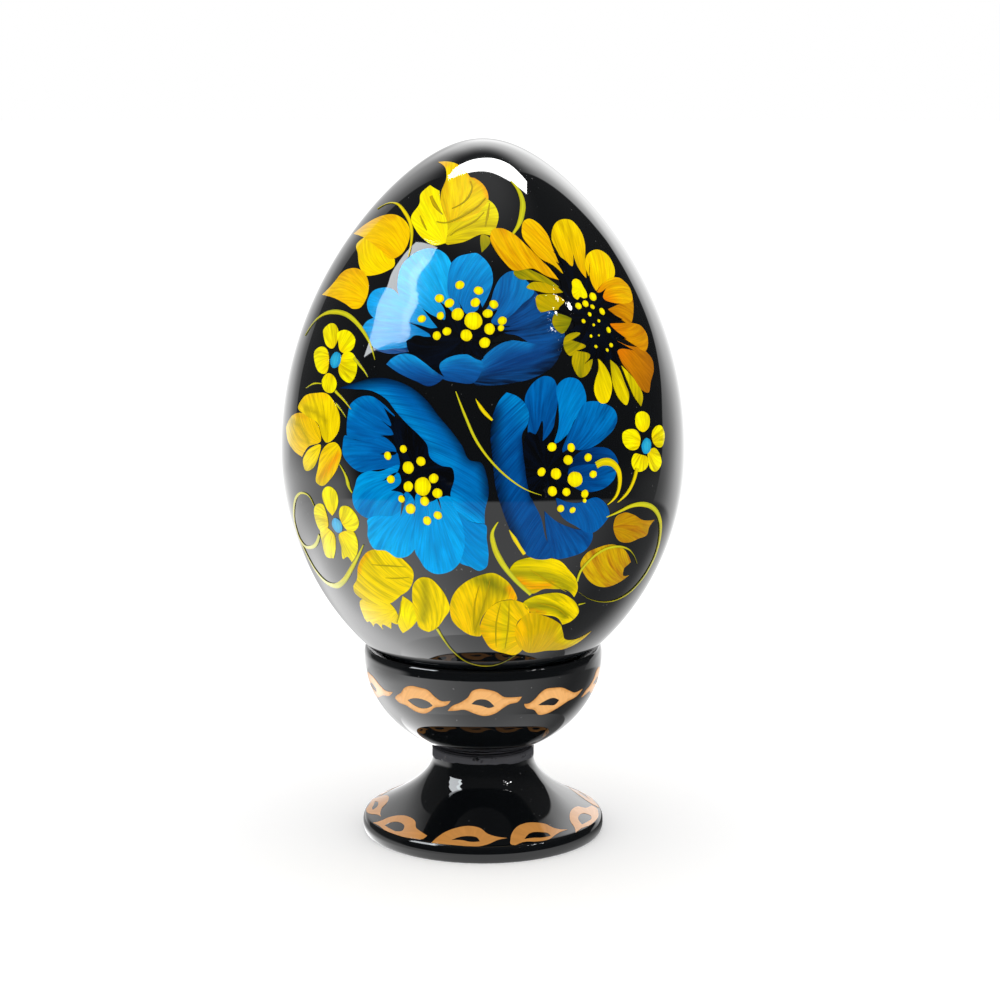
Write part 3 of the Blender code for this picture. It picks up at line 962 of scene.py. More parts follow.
DAISY = (36, 67)
daisy = on_egg("daisy_petals", "yellow_paint", YELLOW, 8)
for tone, layer, outline in (
        ("khaki / moss", 0, [(33, 63.1), (33.5, 62.2), (32.5, 61.3), (30, 60.4), (28.5, 60.3), (27, 61.1),
          (26.5, 62.2), (27.5, 63.1), (30, 63.3)]),
        ("khaki / moss", 1, [(31, 65.2), (28, 65.3), (25.5, 64.9), (24.5, 63.9), (26, 62.8), (29, 63.2),
          (32.5, 64), (32, 64.4)]),
        ("moss olive khaki / moss", 0, [(29, 66.9, 1), (26.5, 67.3), (23.5, 67.5), (22, 66.6), (23, 65.7),
          (24.5, 65.3), (27.5, 66.1)]),
        ("khaki khaki olive / mustard", 1, [(29.5, 68.2, 1), (26, 69.4), (21, 69.7), (18, 69.5),
          (17.5, 68.7), (18.5, 67.8), (22, 67.9), (26, 68)]),
        ("mustard mustard khaki / olive", 1, [(28, 69.8, 1), (25.5, 70.6), (21, 71), (17, 71), (15, 70.5),
          (18.5, 70.1), (22, 69.8)]),
        ("olive khaki olive / moss", 2, [(27, 70.4, 1), (23.5, 71.4), (19.5, 72.1), (15.5, 72.6),
          (12.5, 72.7), (11, 72.1), (12.5, 71.5), (17, 71.3), (21.5, 71), (25, 70.5)]),
        ("pear pear khaki / olive", 1, [(44, 61.2, 1), (46.5, 60.3), (49.5, 58.9), (51, 57.4),
          (49.5, 56.3, 1), (47, 57.6), (45.5, 59.2)]),
        ("olive pear pear / khaki", 1, [(40, 62, 1), (42.5, 61.1), (44, 59.3), (45, 57.7), (43.5, 56.7),
          (41, 57.5), (39.5, 59), (39.5, 60.6)]),
        ("khaki pear yellow / pear", 1, [(35.5, 62.3, 1), (37.5, 61.4), (39, 59.8), (38.5, 58.4), (36, 57.2),
          (34.5, 57.2), (32.5, 58.6), (33.5, 60), (35, 61)]),
        ("flame rust brown / brown", 2, [(43, 64.3, 1), (47.5, 63.5), (57.5, 62.3), (60, 61.1), (59.5, 60.3),
          (56, 58.8), (54, 57.7), (51.5, 58), (47.5, 60), (44.5, 61.5), (43.5, 62.9)]),
        ("flame apricot apricot / rust", 3, [(43, 66, 1), (48.5, 65.9), (55, 65.7), (59.5, 65.1), (61, 64.2),
          (60, 63.2), (57, 62.4), (52.5, 63.2), (47, 64.5)]),
        ("rust apricot apricot / brown", 2, [(44.5, 67.6, 1), (50.5, 68), (60.5, 68.5), (58, 67.2),
          (52.5, 65.7), (49, 66.4)]),
        ("flame honey honey / apricot", 3, [(42, 69.6, 1), (47.5, 70.6), (53.5, 71), (58.5, 70.7),
          (61.5, 69.6), (60.5, 68.5), (50.5, 68.1), (43.5, 68.7, 1)]),
        ("amber yellow yellow / honey", 3, [(44, 73.6), (48, 74.1), (54, 74.1), (57.5, 73.4), (57.5, 72.1),
          (53.5, 70.9), (47.5, 70.6), (42, 69.7, 1), (41, 70.5), (41, 71.5), (41, 72.4)]),
        ("amber gold yellow / mustard", 2, [(31.5, 76.5), (36, 77.5), (42, 77.8), (46, 77.6), (48, 76.5),
          (46.5, 75), (43.5, 73.7), (39.5, 71.2, 1), (37, 72), (35.5, 72.5, 1), (32, 73.3), (30.5, 74.6),
          (30, 75.6)]),
        ("mustard honey gold / amber", 3, [(17.5, 77), (19, 77.7), (22.5, 78), (26, 77.5), (28.5, 76.4),
          (29, 74.6), (29.5, 73.1), (30, 71.8, 1), (27, 72.8), (22.5, 73.6), (19, 75), (17, 76.1)]),
        ("amber honey honey / apricot", 4, [(3, 75.9), (4.5, 76.9), (8, 77), (13, 76.4), (18, 75),
          (22, 73.6), (25.5, 72.3), (27.5, 71.2, 1), (23, 71.7), (19, 72.5), (11, 72.4), (7.5, 73.5),
          (4.5, 74.8)])):
    daisy.stroke(tone, layer, DAISY, outline, strength=0.95)
daisy.build()

dark_centre("daisy_centre", 13, DAISY,
    [(31, 73.7), (33, 73.2), (34.5, 72.6), (37.5, 73.9, 1), (37.5, 72.3), (39.5, 71.2), (44, 72.8, 1),
     (41, 70.7), (42, 69.6), (47, 69.9, 1), (44, 68.9), (49.5, 68.1, 1), (44.5, 67.6), (50, 66.3, 1),
     (43.5, 66), (49, 64.1, 1), (43.5, 64.4), (51, 62.7, 1), (43.5, 62.8), (44, 61.2, 1), (40, 62),
     (37.5, 61.8), (35, 62.3), (30.5, 61.8, 1), (33, 62.7), (28.5, 63.3, 1), (32, 63.7), (27.5, 64.5, 1),
     (31, 65.2), (25.5, 65.5, 1), (29.5, 66.1), (28.5, 67.1), (25, 68), (28, 68.9), (28, 69.9), (28, 71.1),
     (23, 73.2, 1), (30, 71.9), (28.5, 73.2, 1), (31, 72.7), (28.5, 74.4, 1)])

stamens = on_egg("daisy_stamens", "yellow_paint", YELLOW, 15)
stamens.stroke("lemon lemon yellow / pear", 0, (35, 70),
    [(32.6, 70.9), (34.3, 71.2), (36, 71), (36.7, 70.3), (37.3, 69.6), (36.9, 69.1), (35.2, 69),
     (34.2, 69.2), (32.8, 68.9), (31.6, 69.2), (31.4, 69.8), (32.1, 70.3)])
beads(stamens, ((39.5, 69.1, .53), (35.5, 68.4, .42), (32.5, 68.2, .42), (38, 68, .3), (36, 67.2, .26),
     (41.5, 67.4, .42), (33, 66.5, .26), (39, 66.4, .21), (36.5, 66, .18), (42, 65.3, .35),
     (34.5, 64.8, .19), (37.5, 64.8, .12), (41.5, 63.6, .28), (35.5, 63.6, .21), (39.5, 63.1, .21)))

# ---------------------------------------------------------------- leaves

leaves = on_egg("top_leaves", "yellow_paint", YELLOW_GLOSS, 0)
leaves.stroke("khaki olive olive / moss", 0, (-1, 78), [(0, 76.4), (3, 76), (-0.5, 74.4, 1)])
leaves.stroke("yellow / honey", 1, (-14.5, 76.2),
    [(-46.5, 84.3, 1), (-36.5, 84.4), (-23, 84.1), (-11.5, 83.1), (-6.5, 81.9), (-8, 80.6), (-11, 79),
     (-13, 77.5), (-16.5, 77.4), (-20.5, 78.8), (-25.5, 80.9), (-27, 82.7), (-32, 83.6)],
    glows=[([(-46.5, 84.3), (-34, 84)], "amber", 1.0),
           ([(-23, 84.3), (-12, 83.3), (-7, 82.2)], "amber", 0.7),
           ([(-27, 82), (-22, 79.8), (-15.5, 77.4)], "mustard", 0.8)])
leaves.stroke("yellow yellow pear / honey", 2, (-16, 76.9),
    [(-10.5, 82.7, 1), (-6, 82.6, 1), (0, 81.9), (3, 80.3), (-1, 79), (-6.5, 78), (-13, 77.4), (-11, 79.2),
     (-8, 80.8), (-6.5, 81.9)],
    glows=[([(-9, 82.9), (-5, 82.5), (0, 81.8), (2.8, 80.5)], "orange", 0.55),
           ([(-13, 77.8), (-9, 78.7), (-3, 79.3), (1, 80)], "khaki", 0.5)])
leaves.stroke("pear pear lemon / khaki", 3, (-17.5, 75.4),
    [(3, 80.2, 1), (6, 79.6), (7.5, 78.7), (6, 77.2), (4, 76.3), (0, 76.4), (-8.5, 75.5), (-14.5, 75.2, 1),
     (-16.5, 75.5), (-16.5, 77.4), (-6.5, 78), (-1, 79)])
leaves.stroke("lemon / yellow", 4, (-14.5, 74.8),
    [(-15.5, 75.4, 1), (-19.5, 75.1), (-26, 75.8), (-31.5, 76.8), (-37, 78.2), (-36, 79.6), (-39, 80.8),
     (-36, 81.7, 1), (-27, 81.1, 1), (-22, 79.4), (-16.5, 77.5)])
folds(leaves, ( ((0.03, 0.08, 0.03), [(-32, 78.3), (-29.5, 77.7), (-25.5, 76.7)]), ((0.1, 0.14, 0.03),
      [(-31, 80.5), (-27, 79.7), (-20, 78.5)]), ((0.03, 0.07, 0.03), [(-8.5, 82.2), (-7, 81.7), (-7.5, 80.8),
       (-11, 79.8), (-16, 79.2)]), ((0.03, 0.08, 0.05), [(1.5, 80.4), (-2.5, 79.5), (-7.5, 78.7), (-13, 78),
       (-17.5, 77.6), (-22, 77.7)]), ((0.03, 0.07, 0.02), [(0.5, 78.8), (-4, 77.8), (-7.5, 77.3),
       (-12, 76.7), (-14, 76.2)]), ((0.02, 0.08, 0.03), [(3.5, 79.8), (2, 78.2), (1, 77.2)])))
leaves.build()

leaves = on_egg("upper_left_leaves", "yellow_paint", YELLOW, 0)
leaves.stroke("yellow / gold", 1, (-28.5, 71.6),
    [(-64.5, 74.8), (-62, 75.4), (-46.5, 74.6), (-36, 73.4, 1), (-35, 72.7), (-38, 72), (-43, 71.5),
     (-47.5, 71.4), (-53, 72.3), (-58.5, 73.6)])
leaves.stroke("gold / honey", 2, (-28.5, 71.6),
    [(-77.5, 75.6, 1), (-69, 77), (-59, 78), (-50, 78.3), (-41.5, 77.9), (-35, 76.9), (-32.5, 75.4),
     (-34, 73.9), (-37, 73.4), (-45, 74.3), (-62.5, 75.5)],
    glows=[([(-74, 75.9), (-60, 77.7), (-48, 78)], "amber", 0.9),
           ([(-60, 74.6), (-45, 74.4), (-35, 73.6)], "amber", 0.7)])
leaves.stroke("gold / amber", 3, (-36, 67.8),
    [(-72, 68.5, 1), (-66, 70.1), (-63.5, 71.3), (-57.5, 72), (-52.5, 72), (-47, 71.4), (-43.5, 70.3),
     (-42.5, 68.9), (-44, 67.8), (-47, 67.6), (-51.5, 68), (-58, 68.4)],
    glows=[([(-63.5, 71), (-57.5, 71.8), (-50, 71.7)], "amber", 0.9)])
leaves.build()

leaves = on_egg("left_leaves", "yellow_paint", YELLOW, 0)
leaves.stroke("yellow / olive", 0, (-48.5, 52),
    [(-57.5, 50.3), (-54.5, 51.2), (-50, 51.7), (-51, 50.2), (-53.5, 48.8), (-58, 48.4), (-59, 49.3)])
leaves.stroke("yellow gold yellow / khaki", 1, (-41.5, 52.6),
    [(-49.5, 51), (-46.5, 52.1), (-43.5, 52.3), (-41.5, 51.4), (-42.5, 49.7), (-46, 47.8), (-49.5, 46.9),
     (-52, 47.2), (-51, 49)],
    glows=[([(-42.5, 51), (-47, 49), (-50, 47.8)], "orange", 0.8)])
leaves.stroke("gold gold yellow / khaki", 2, (-48.5, 52),
    [(-74, 52.5, 1), (-69.5, 54), (-64, 54.8), (-58, 54.9), (-51.5, 53.8), (-50, 52.4), (-56.5, 51.1),
     (-59.5, 49.8, 1), (-66, 50.3), (-72, 51.4)],
    glows=[([(-68, 53.6), (-61, 53.2), (-56, 51.8)], "khaki", 0.6),
           ([(-66, 54.6), (-58, 54.7)], "amber", 0.7)])
leaves.stroke("yellow / khaki", 3, (-47.5, 49.4),
    [(-64.5, 55.5), (-62, 56.7), (-55, 57.6), (-49, 57.7), (-45.5, 56.8), (-43, 55.4), (-43, 53.7),
     (-48, 52.2), (-49.5, 52.7), (-51.5, 54), (-59, 54.8)],
    glows=[([(-63, 56), (-56, 57.4), (-50, 57.5)], "gold", 1.0),
           ([(-60, 55.6), (-54, 55.4), (-48.5, 54.6)], "khaki", 0.6)])
leaves.build()

leaves = on_egg("lower_left_leaves", "yellow_paint", YELLOW_SATIN, 0)
leaves.stroke("yellow / pear", 0, (-27, 32.9),
    [(-44, 32.8), (-36, 33.3), (-31, 33.1), (-29.5, 31.9), (-31.5, 30.3), (-33.5, 30.5, 1), (-35, 29.5, 1),
     (-38.5, 29.9), (-39.5, 29.1, 1), (-41, 29.9), (-44, 29.3, 1), (-44.5, 30), (-46, 29.8), (-46, 31.2)])
leaves.stroke("yellow lemon yellow / pear", 1, (-27, 29),
    [(-25.5, 34.4, 1), (-23, 33.7), (-21.5, 32.7), (-22, 31.6), (-24.5, 30.5), (-30.5, 29.1, 1), (-31, 29.9),
     (-28.5, 32)])
leaves.stroke("yellow / khaki", 2, (-8, 36.2),
    [(-39.5, 37.5), (-37, 38.8), (-34, 39.8), (-30, 40.2), (-26, 39.9), (-22.5, 39), (-20.5, 37.9),
     (-21, 36.5), (-23, 35.3), (-26, 34.5, 1), (-31.5, 33.1), (-41.5, 33), (-45, 34), (-44.5, 34.6),
     (-41.5, 35.8)],
    glows=[([(-40, 36.8), (-38, 38.2), (-34, 39.6)], "orange", 0.6)], strength=0.9)
leaves.stroke("yellow / khaki", 3, (-21.5, 27.9),
    [(-22, 34.9), (-20.5, 36.4), (-18, 37.1), (-16, 37.1), (-13, 36), (-11, 34.4), (-10.5, 33.2),
     (-13, 31.7), (-16, 30.4), (-19.5, 29.7, 1), (-22.5, 30.2), (-22.5, 31.8), (-22.5, 33.3)],
    glows=[([(-17.5, 36.6), (-17.8, 34.4), (-20.3, 31.4)], "olive", 0.9)])
folds(leaves, ( ((0.02, 0.06, 0.02), [(-34, 38.1), (-29, 38.2), (-22.5, 38.3)]), ((0.02, 0.05, 0.02),
      [(-30, 36.6), (-26.5, 36.7), (-22, 37.0)]), ((0.02, 0.05, 0.03), [(-26.5, 33.7), (-28.5, 32),
       (-31, 30.6)])))
leaves.build()

leaves = on_egg("lower_leaves", "yellow_paint", YELLOW_SATIN, 0)
leaves.stroke("gold gold yellow / khaki", 1, (-5, 26.4),
    [(-10.5, 33), (-9, 35), (-5.5, 36.6), (-1, 37.6), (3, 37.9), (6, 37.2), (8.5, 36.1), (10, 34.3),
     (9, 34.4), (5, 34.2), (1.5, 33.1), (-1, 31.3), (-1, 29.4), (-4, 29.5), (-7.5, 30.3), (-10, 31.4)],
    glows=[([(3, 37), (1, 34.5), (-2, 30.4)], "khaki", 1.2),
           ([(-1, 37.2), (3, 36.4), (6, 35.6)], "moss", 1.7),
           ([(9.5, 34.6), (8, 36)], "orange", 0.8)])
leaves.stroke("amber gold gold / khaki", 2, (18, 29.6),
    [(10, 34.3, 1), (14, 33.4), (15, 32.5), (12, 31.6), (11.5, 29.7), (13, 28.3), (15.5, 27.1), (13.5, 26.5),
     (8.5, 26.8), (3, 27.6), (0.5, 28.9), (-1, 30.6), (0, 32), (2, 33.3), (5.5, 34.2)],
    fade=((-1, 30), (6, 30.5)),
    glows=[([(6.5, 34), (7.5, 31), (8, 27.8)], "pear", 1.2)])
leaves.stroke("honey honey mustard / khaki", 3, (19, 24.5),
    [(15, 32.5), (20, 32), (26, 30.9), (28, 30.4, 1), (30.5, 29.1), (32.5, 28.2), (38, 27.8), (45, 28.6, 1),
     (42, 27.3), (36.5, 26.6), (26.5, 26.7), (18.5, 26.7), (14, 27.7), (11.5, 29.3), (11.5, 30.9),
     (13, 31.9)],
    fade=((11.5, 30), (18, 30)),
    glows=[([(28.5, 30), (31, 28.3), (40, 27.3)], "pear", 0.9)])
leaves.stroke("yellow yellow pear / olive", 2, (36.5, 29.7),
    [(12.5, 33.9), (15, 34.6), (18.5, 34.9), (23.5, 34.9), (28.5, 34), (31.5, 33), (33.5, 31.7),
     (31.5, 30.7), (28.5, 30.4, 1), (25, 31.6), (20, 32.1), (15, 32.7)],
    glows=[([(15, 33.4), (22, 33.1), (28.5, 31.6)], "moss", 0.9),
           ([(15, 32.9), (20, 32.3)], "orange", 0.5)])
leaves.stroke("yellow yellow pear / olive", 3, (34, 32.8),
    [(7.5, 38.1), (9, 39.2), (12.5, 39.7), (17.5, 39.6), (22, 39.1), (25.5, 37.8), (29, 36.2), (30, 35),
     (29.5, 34.1, 1), (26, 35.2), (21.5, 35.5), (18.5, 35.6), (15, 35.1), (12.5, 35.8), (8.5, 37)],
    glows=[([(9, 37.8), (15, 37.6), (21, 36.8), (27, 35.2)], "olive", 1.3),
           ([(10, 36.9), (15, 36), (20, 36)], "orange", 1.0)])
folds(leaves, ( ((0.02, 0.06, 0.02), [(2, 37), (1, 34.9), (-3, 29.9)]), ((0.02, 0.06, 0.02), [(-1, 36.4),
       (-2.5, 34), (-3, 30.3)]), ((0.02, 0.06, 0.02), [(5.5, 34), (4.5, 31.7), (5, 27.9)]),
     ((0.02, 0.06, 0.02), [(8, 34.2), (8.5, 31.2), (8.5, 27.6)]), ((0.02, 0.06, 0.02), [(13.5, 38.2),
       (18.5, 36.8), (26, 35)]), ((0.02, 0.06, 0.02), [(17, 33.8), (24, 32.9), (30, 31.2)])))
leaves.build()

# these right-hand leaves get darker ochre and mustard partly as painted shade, on the side away from the
# light
leaves = on_egg("right_leaves", "yellow_paint", YELLOW, 0)
leaves.stroke("ochre / brown", 0, (36, 42.5),
    [(38.5, 42.7), (39, 43.7), (42, 44.1), (45.5, 43.7), (50.5, 42.7), (57, 42.3, 1), (54.5, 41.4),
     (54.5, 40.8), (50, 40.4), (45.5, 40.2), (41.5, 40.7), (39.5, 41.6)])
leaves.stroke("ochre mustard mustard / brown", 0, (61, 34.6),
    [(29, 38.6), (30.5, 39.7), (34, 40.2), (38, 40.4), (43, 39.8), (47, 38.6), (49.5, 37.5, 1),
     (47, 36.9, 1), (47.5, 36), (51, 35.7, 1), (46.5, 35), (41, 34.8), (35.5, 35.5), (31.5, 36.8)],
    strength=0.9)
leaves.build()

# ---------------------------------------------------------------- small five-petalled flowers

for name, (lon, z, wide, tall), petals in (
        ("left_high", (-48.5, 61.7, 0.95, 1.0),
         [[(-59.5, 64.8), (-57.5, 65.5), (-54.5, 65.7), (-51, 65), (-50, 63.8), (-51, 63), (-54.5, 63.1),
           (-57.5, 63.9)],
          [(-51, 64.7), (-49, 65.1), (-45, 65), (-42, 64.1), (-42, 63.4), (-44.5, 62.6), (-47.5, 62.8),
           (-49.5, 63.8)],
          [(-46.5, 61.4), (-45.5, 62.6), (-42, 62.7), (-39.5, 61.7), (-39, 60.4), (-40.5, 59.4), (-44, 59.7),
           (-46, 60.4)],
          [(-53, 59.1), (-51.5, 60), (-48, 59.9), (-46, 59), (-46.5, 58.2), (-49.5, 57.9), (-52, 58.4)],
          [(-61, 62.2), (-58, 62.9), (-54, 62.7), (-51.5, 61.4), (-51.5, 60.1), (-55, 60), (-58.5, 60.8)]]),
        ("left_low", (-44.5, 42.4, 0.88, 0.95),
         [[(-49.5, 46), (-48, 46.8), (-45.5, 47), (-43.5, 46.5), (-43, 45.4), (-44, 44.4), (-46, 43.5, 1),
           (-48, 44.2)],
          [(-43, 44.1), (-42, 44.8), (-39.5, 45), (-37, 44.3), (-36, 43.2), (-37.5, 42.2), (-40, 41.9),
           (-42, 42.5)],
          [(-44.5, 41.2), (-41.5, 41.9), (-38.5, 42), (-37.5, 41), (-38, 39.7), (-41.5, 38, 1),
           (-42.5, 38.6), (-45, 38.2), (-44.5, 39.7)],
          [(-53, 41.2), (-49, 41.8), (-46.5, 41.1), (-47, 39.7), (-49.5, 38, 1), (-53.5, 38), (-53.5, 39.7)],
          [(-54, 44), (-52.5, 44.5), (-49.5, 44.6), (-48.5, 43.6), (-48.5, 42.1), (-53, 41.2),
           (-54.5, 42.3)]]),
        ("right", (50.5, 51.6, 0.95, 0.95),
         [[(47, 55.4), (50, 55.7), (53, 54.9), (52.5, 53.9), (49.5, 53.3), (46.5, 54.2)],
          [(53.5, 53), (55.5, 53.6), (59, 53.5), (60.5, 52.4), (58.5, 51.1), (56.5, 51.1), (53.5, 52.1)],
          [(41, 53.5), (44, 53.9), (47, 53.5), (48, 52.6), (47, 51.6), (43.5, 51.5), (41, 52.5)],
          [(44, 50.2), (45, 50.9), (48, 50.7), (51, 50.1), (51, 49.3), (48, 48.7), (45, 49.1)],
          [(51, 50.7), (54, 51.2), (57, 50.3), (58, 49.2), (55, 48.3), (52, 48.9), (51, 50)]])):
    flower = on_egg("small_flower_" + name, "yellow_paint", YELLOW, 2)
    for i, outline in enumerate(petals):
        flower.stroke("yellow lemon lemon / khaki", i % 3, (lon, z), outline)
    flower.build()
    flower_eye(name, 6, lon, z, wide, tall)

# ---------------------------------------------------------------- drawn curls and stems

curls("left_curls", 7, (
     ("pear yellow yellow / lime", (0.03, 0.1, 0.22, 0.2, 0.05), [(-69, 78.7), (-64, 79.3), (-53.5, 79.5),
       (-42.5, 78.6), (-35.5, 77.4), (-32, 76.1), (-30.5, 74.8), (-30, 73.7)]),
     ("lime / pear", (0.03, 0.14, 0.3, 0.28, 0.2, 0.03), [(-73, 63.6), (-69, 65.3), (-63, 66.5), (-55.5, 67),
       (-48.5, 66.8), (-41.5, 65.7), (-36.5, 64.2), (-33, 62.2)]),
     ("lime / pear", (0.2, 0.14, 0.03), [(-41, 62.2), (-38, 61.4), (-36, 60.8), (-34.5, 60.2)]),
     ("lime / pear", (0.02, 0.1, 0.05), [(-61, 57.9), (-57, 58.6), (-52.5, 58.8)]),
     ("lime / pear", (0.18, 0.12, 0.04), [(-46, 58.2), (-42, 57.3), (-39, 56.4)]),
     ("lime / pear", (0.12, 0.07, 0.02), [(-45, 56.8), (-42.5, 56.1), (-40.5, 55.4)]),
     ("lime / pear", (0.04, 0.12, 0.26, 0.06), [(-42, 49.9), (-39.5, 48.5), (-38.5, 47.3), (-37.5, 46.7)]),
     ("lime / pear", (0.2, 0.24, 0.2, 0.18, 0.2, 0.2, 0.12, 0.03), [(-54, 40.6), (-56.5, 39.5), (-63, 38.4),
       (-68, 38.3), (-71, 39), (-71.5, 40.9), (-68.5, 43), (-65, 44.5), (-60, 45.4), (-56, 45.2),
       (-54, 44.2)]),
     ("lime / pear", (0.16, 0.22, 0.3, 0.36, 0.32, 0.24, 0.06), [(-71, 39), (-69, 37.2), (-66, 35.3),
       (-61.5, 34.2), (-54.5, 34.1), (-48.5, 35.1), (-42.5, 37.1), (-38, 39.1), (-35.5, 40.5)])))

curls("middle_curls", 8, (
     ("lime / pear", (0.08, 0.26, 0.34, 0.3, 0.14), [(19, 82.2), (21.5, 81.4), (22, 80.1), (19.5, 78.6),
       (16.5, 77.4), (13, 76.4)]),
     ("lime / pear", (0.05, 0.14, 0.16, 0.13, 0.12, 0.08, 0.03), [(-7.5, 59.1), (-4.5, 56.1), (-2, 53.8),
       (1.5, 51.6), (7, 49.2), (11, 48), (15.5, 47.2)]),
     ("pear yellow yellow / lime", (0.03, 0.2, 0.22, 0.12), [(-2, 58.3), (0, 57), (2.5, 55.9)]),
     ("lime / pear", (0.05, 0.28, 0.34, 0.3, 0.24, 0.2), [(4, 44.2), (2.5, 42.9), (3, 41.3), (5, 39.4),
       (8.5, 37.4), (14.5, 35)]),
     ("pear yellow yellow / lime", (0.05, 0.24, 0.2, 0.2), [(7, 43.2), (9, 41.8), (10.5, 40.8),
       (11.5, 40.2)]),
     ("lime moss moss / pear", (0.18, 0.11, 0.09, 0.07, 0.06, 0.04, 0.02), [(-16, 30.3), (-14.5, 28.8),
       (-11.8, 27), (-6.5, 25.4), (-1.5, 24.9), (4.5, 24.9), (9.5, 25.5), (13.5, 26.5)])))

curls("right_curls", 10, (
     ("pear yellow yellow / lime", (0.4, 0.45, 0.36, 0.28, 0.2, 0.04), [(31.5, 50.2), (33.5, 50.5),
       (36.5, 50.3), (39, 49.2), (39.5, 47.9), (38.5, 46.4), (35.5, 45.4)]),
     ("pear yellow yellow / lime", (0.3, 0.24, 0.2, 0.04), [(46, 49.2), (45, 48), (43, 46.7), (39, 45.5)]),
     ("lime lime moss / pear", (0.06, 0.2, 0.3, 0.3, 0.28, 0.22, 0.19, 0.14, 0.08, 0.04, 0.02, 0.015),
      [(35.5, 43.9), (39.5, 44.3), (44.5, 44.8), (50.5, 44.6), (56, 43.6), (60.5, 41.9), (63.5, 39.6),
       (64.5, 37.3), (62.5, 35.1), (57.5, 33.4), (49.5, 32.6), (41, 32.9), (35, 33.7), (30.5, 34.8)]),
     ("lime lime moss / pear", (0.14, 0.16, 0.17, 0.13, 0.06, 0.02), [(29, 36.2), (29.5, 37.5), (32.5, 39),
       (36.5, 39.9), (41, 40), (46.5, 39.3), (50.5, 38.1), (53, 37.1)]),
     ("lime / pear", (0.1, 0.04), [(32, 33), (34.5, 33.1)])))

# ---------------------------------------------------------------- sprig on the back of the egg


# One side of a leaf: (share of its length, share of its half-width)
LEAF_HALF = [(0.0, 0.0), (0.12, 0.45), (0.35, 0.95), (0.6, 1.0), (0.82, 0.62), (1.0, 0.0)]
LEAF_ROOT = 0.15                # bristle marks run from this share of its length before its base


def leaf(painting, tone, layer, base, tip, width, bend=0.0):
    """A leaf-shaped stroke from base to tip; width in mm, bend to the left as a share of its length."""
    k = math.radians(1) * float(egg_radius((base[1] + tip[1]) / 2))
    run = np.array(((tip[0] - base[0]) * k, tip[1] - base[1]))
    size = float(np.hypot(*run))
    along, side = run / size, np.array((-run[1], run[0])) / size
    outline = []
    for share, half in LEAF_HALF + [(share, -half) for share, half in LEAF_HALF[-2:0:-1]]:
        q = along * size * share + side * (half * width / 2 + bend * size * math.sin(math.pi * share))
        corner = (1,) if share in (0.0, 1.0) else ()
        outline.append((base[0] + float(q[0]) / k, base[1] + float(q[1])) + corner)
    root = tuple(b - (t - b) * LEAF_ROOT for b, t in zip(base, tip))
    painting.stroke(tone, layer, root, outline)


curls("back_curls", 0, (
     ("lime / pear", (0.1, 0.3, 0.36, 0.3, 0.22, 0.08), [(172, 30), (168, 36), (170, 43), (177, 50),
       (186, 56), (191, 62), (189, 68), (182, 72)]),
     ("lime / pear", (0.25, 0.22, 0.18, 0.05), [(169, 40), (160, 44), (153, 50), (152, 56), (158, 59)]),
     ("lime / pear", (0.25, 0.22, 0.18, 0.05), [(177, 50), (190, 50), (202, 47), (208, 41), (204, 36)]),
     ("lime / pear", (0.2, 0.2, 0.14, 0.04), [(186, 56), (176, 60), (167, 64), (164, 69)])))
leaves = on_egg("back_leaves", "yellow_paint", YELLOW, 2)
for tone, base, tip, width, bend in (
        ("gold yellow yellow / khaki", (169, 34), (152, 29), 4.4, 0.08),
        ("amber gold gold / mustard", (170, 33), (189, 29), 4.6, -0.08),
        ("yellow lemon lemon / pear", (169, 38), (186, 39), 4.0, -0.06),
        ("amber gold gold / mustard", (168, 37), (151, 38), 4.0, 0.06),
        ("yellow lemon lemon / pear", (172, 46), (160, 51), 3.6, 0.08),
        ("gold yellow yellow / khaki", (183, 54), (199, 56), 3.6, -0.08),
        ("amber gold gold / mustard", (190, 61), (206, 64), 3.4, -0.06),
        ("yellow lemon lemon / pear", (190, 64), (176, 66), 3.2, 0.08),
        ("gold yellow yellow / khaki", (182, 71), (168, 75), 3.2, 0.05),
        ("amber gold gold / mustard", (182, 71), (186, 78), 3.2, 0.0),
        ("yellow lemon lemon / pear", (182, 71), (204, 73), 3.0, -0.05),
        ("gold yellow yellow / khaki", (203, 45), (218, 42), 3.4, 0.05)):
    leaf(leaves, tone, rng.randint(0, 2), base, tip, width, bend)
leaves.build()
PETALS, PETAL_FROM, PETAL_TO, PETAL_WIDTH, FIRST_PETAL = 5, 0.9, 3.3, 2.3, 20
for name, lon, z in (("back_low", 204, 36), ("back_high", 160, 60)):
    flower = on_egg("small_flower_" + name, "yellow_paint", YELLOW, 4)
    k = math.radians(1) * float(egg_radius(z))
    for i in range(PETALS):
        turn = math.radians(360 // PETALS * i + FIRST_PETAL)
        root, tip = ((lon + r * math.cos(turn) / k, z + r * math.sin(turn)) for r in (PETAL_FROM, PETAL_TO))
        leaf(flower, "yellow lemon lemon / khaki", i % 2, root, tip, PETAL_WIDTH)
    flower.build()
    flower_eye(name, 7, lon, z, 0.85, 0.85)

# ---------------------------------------------------------------- painted rings on the stand

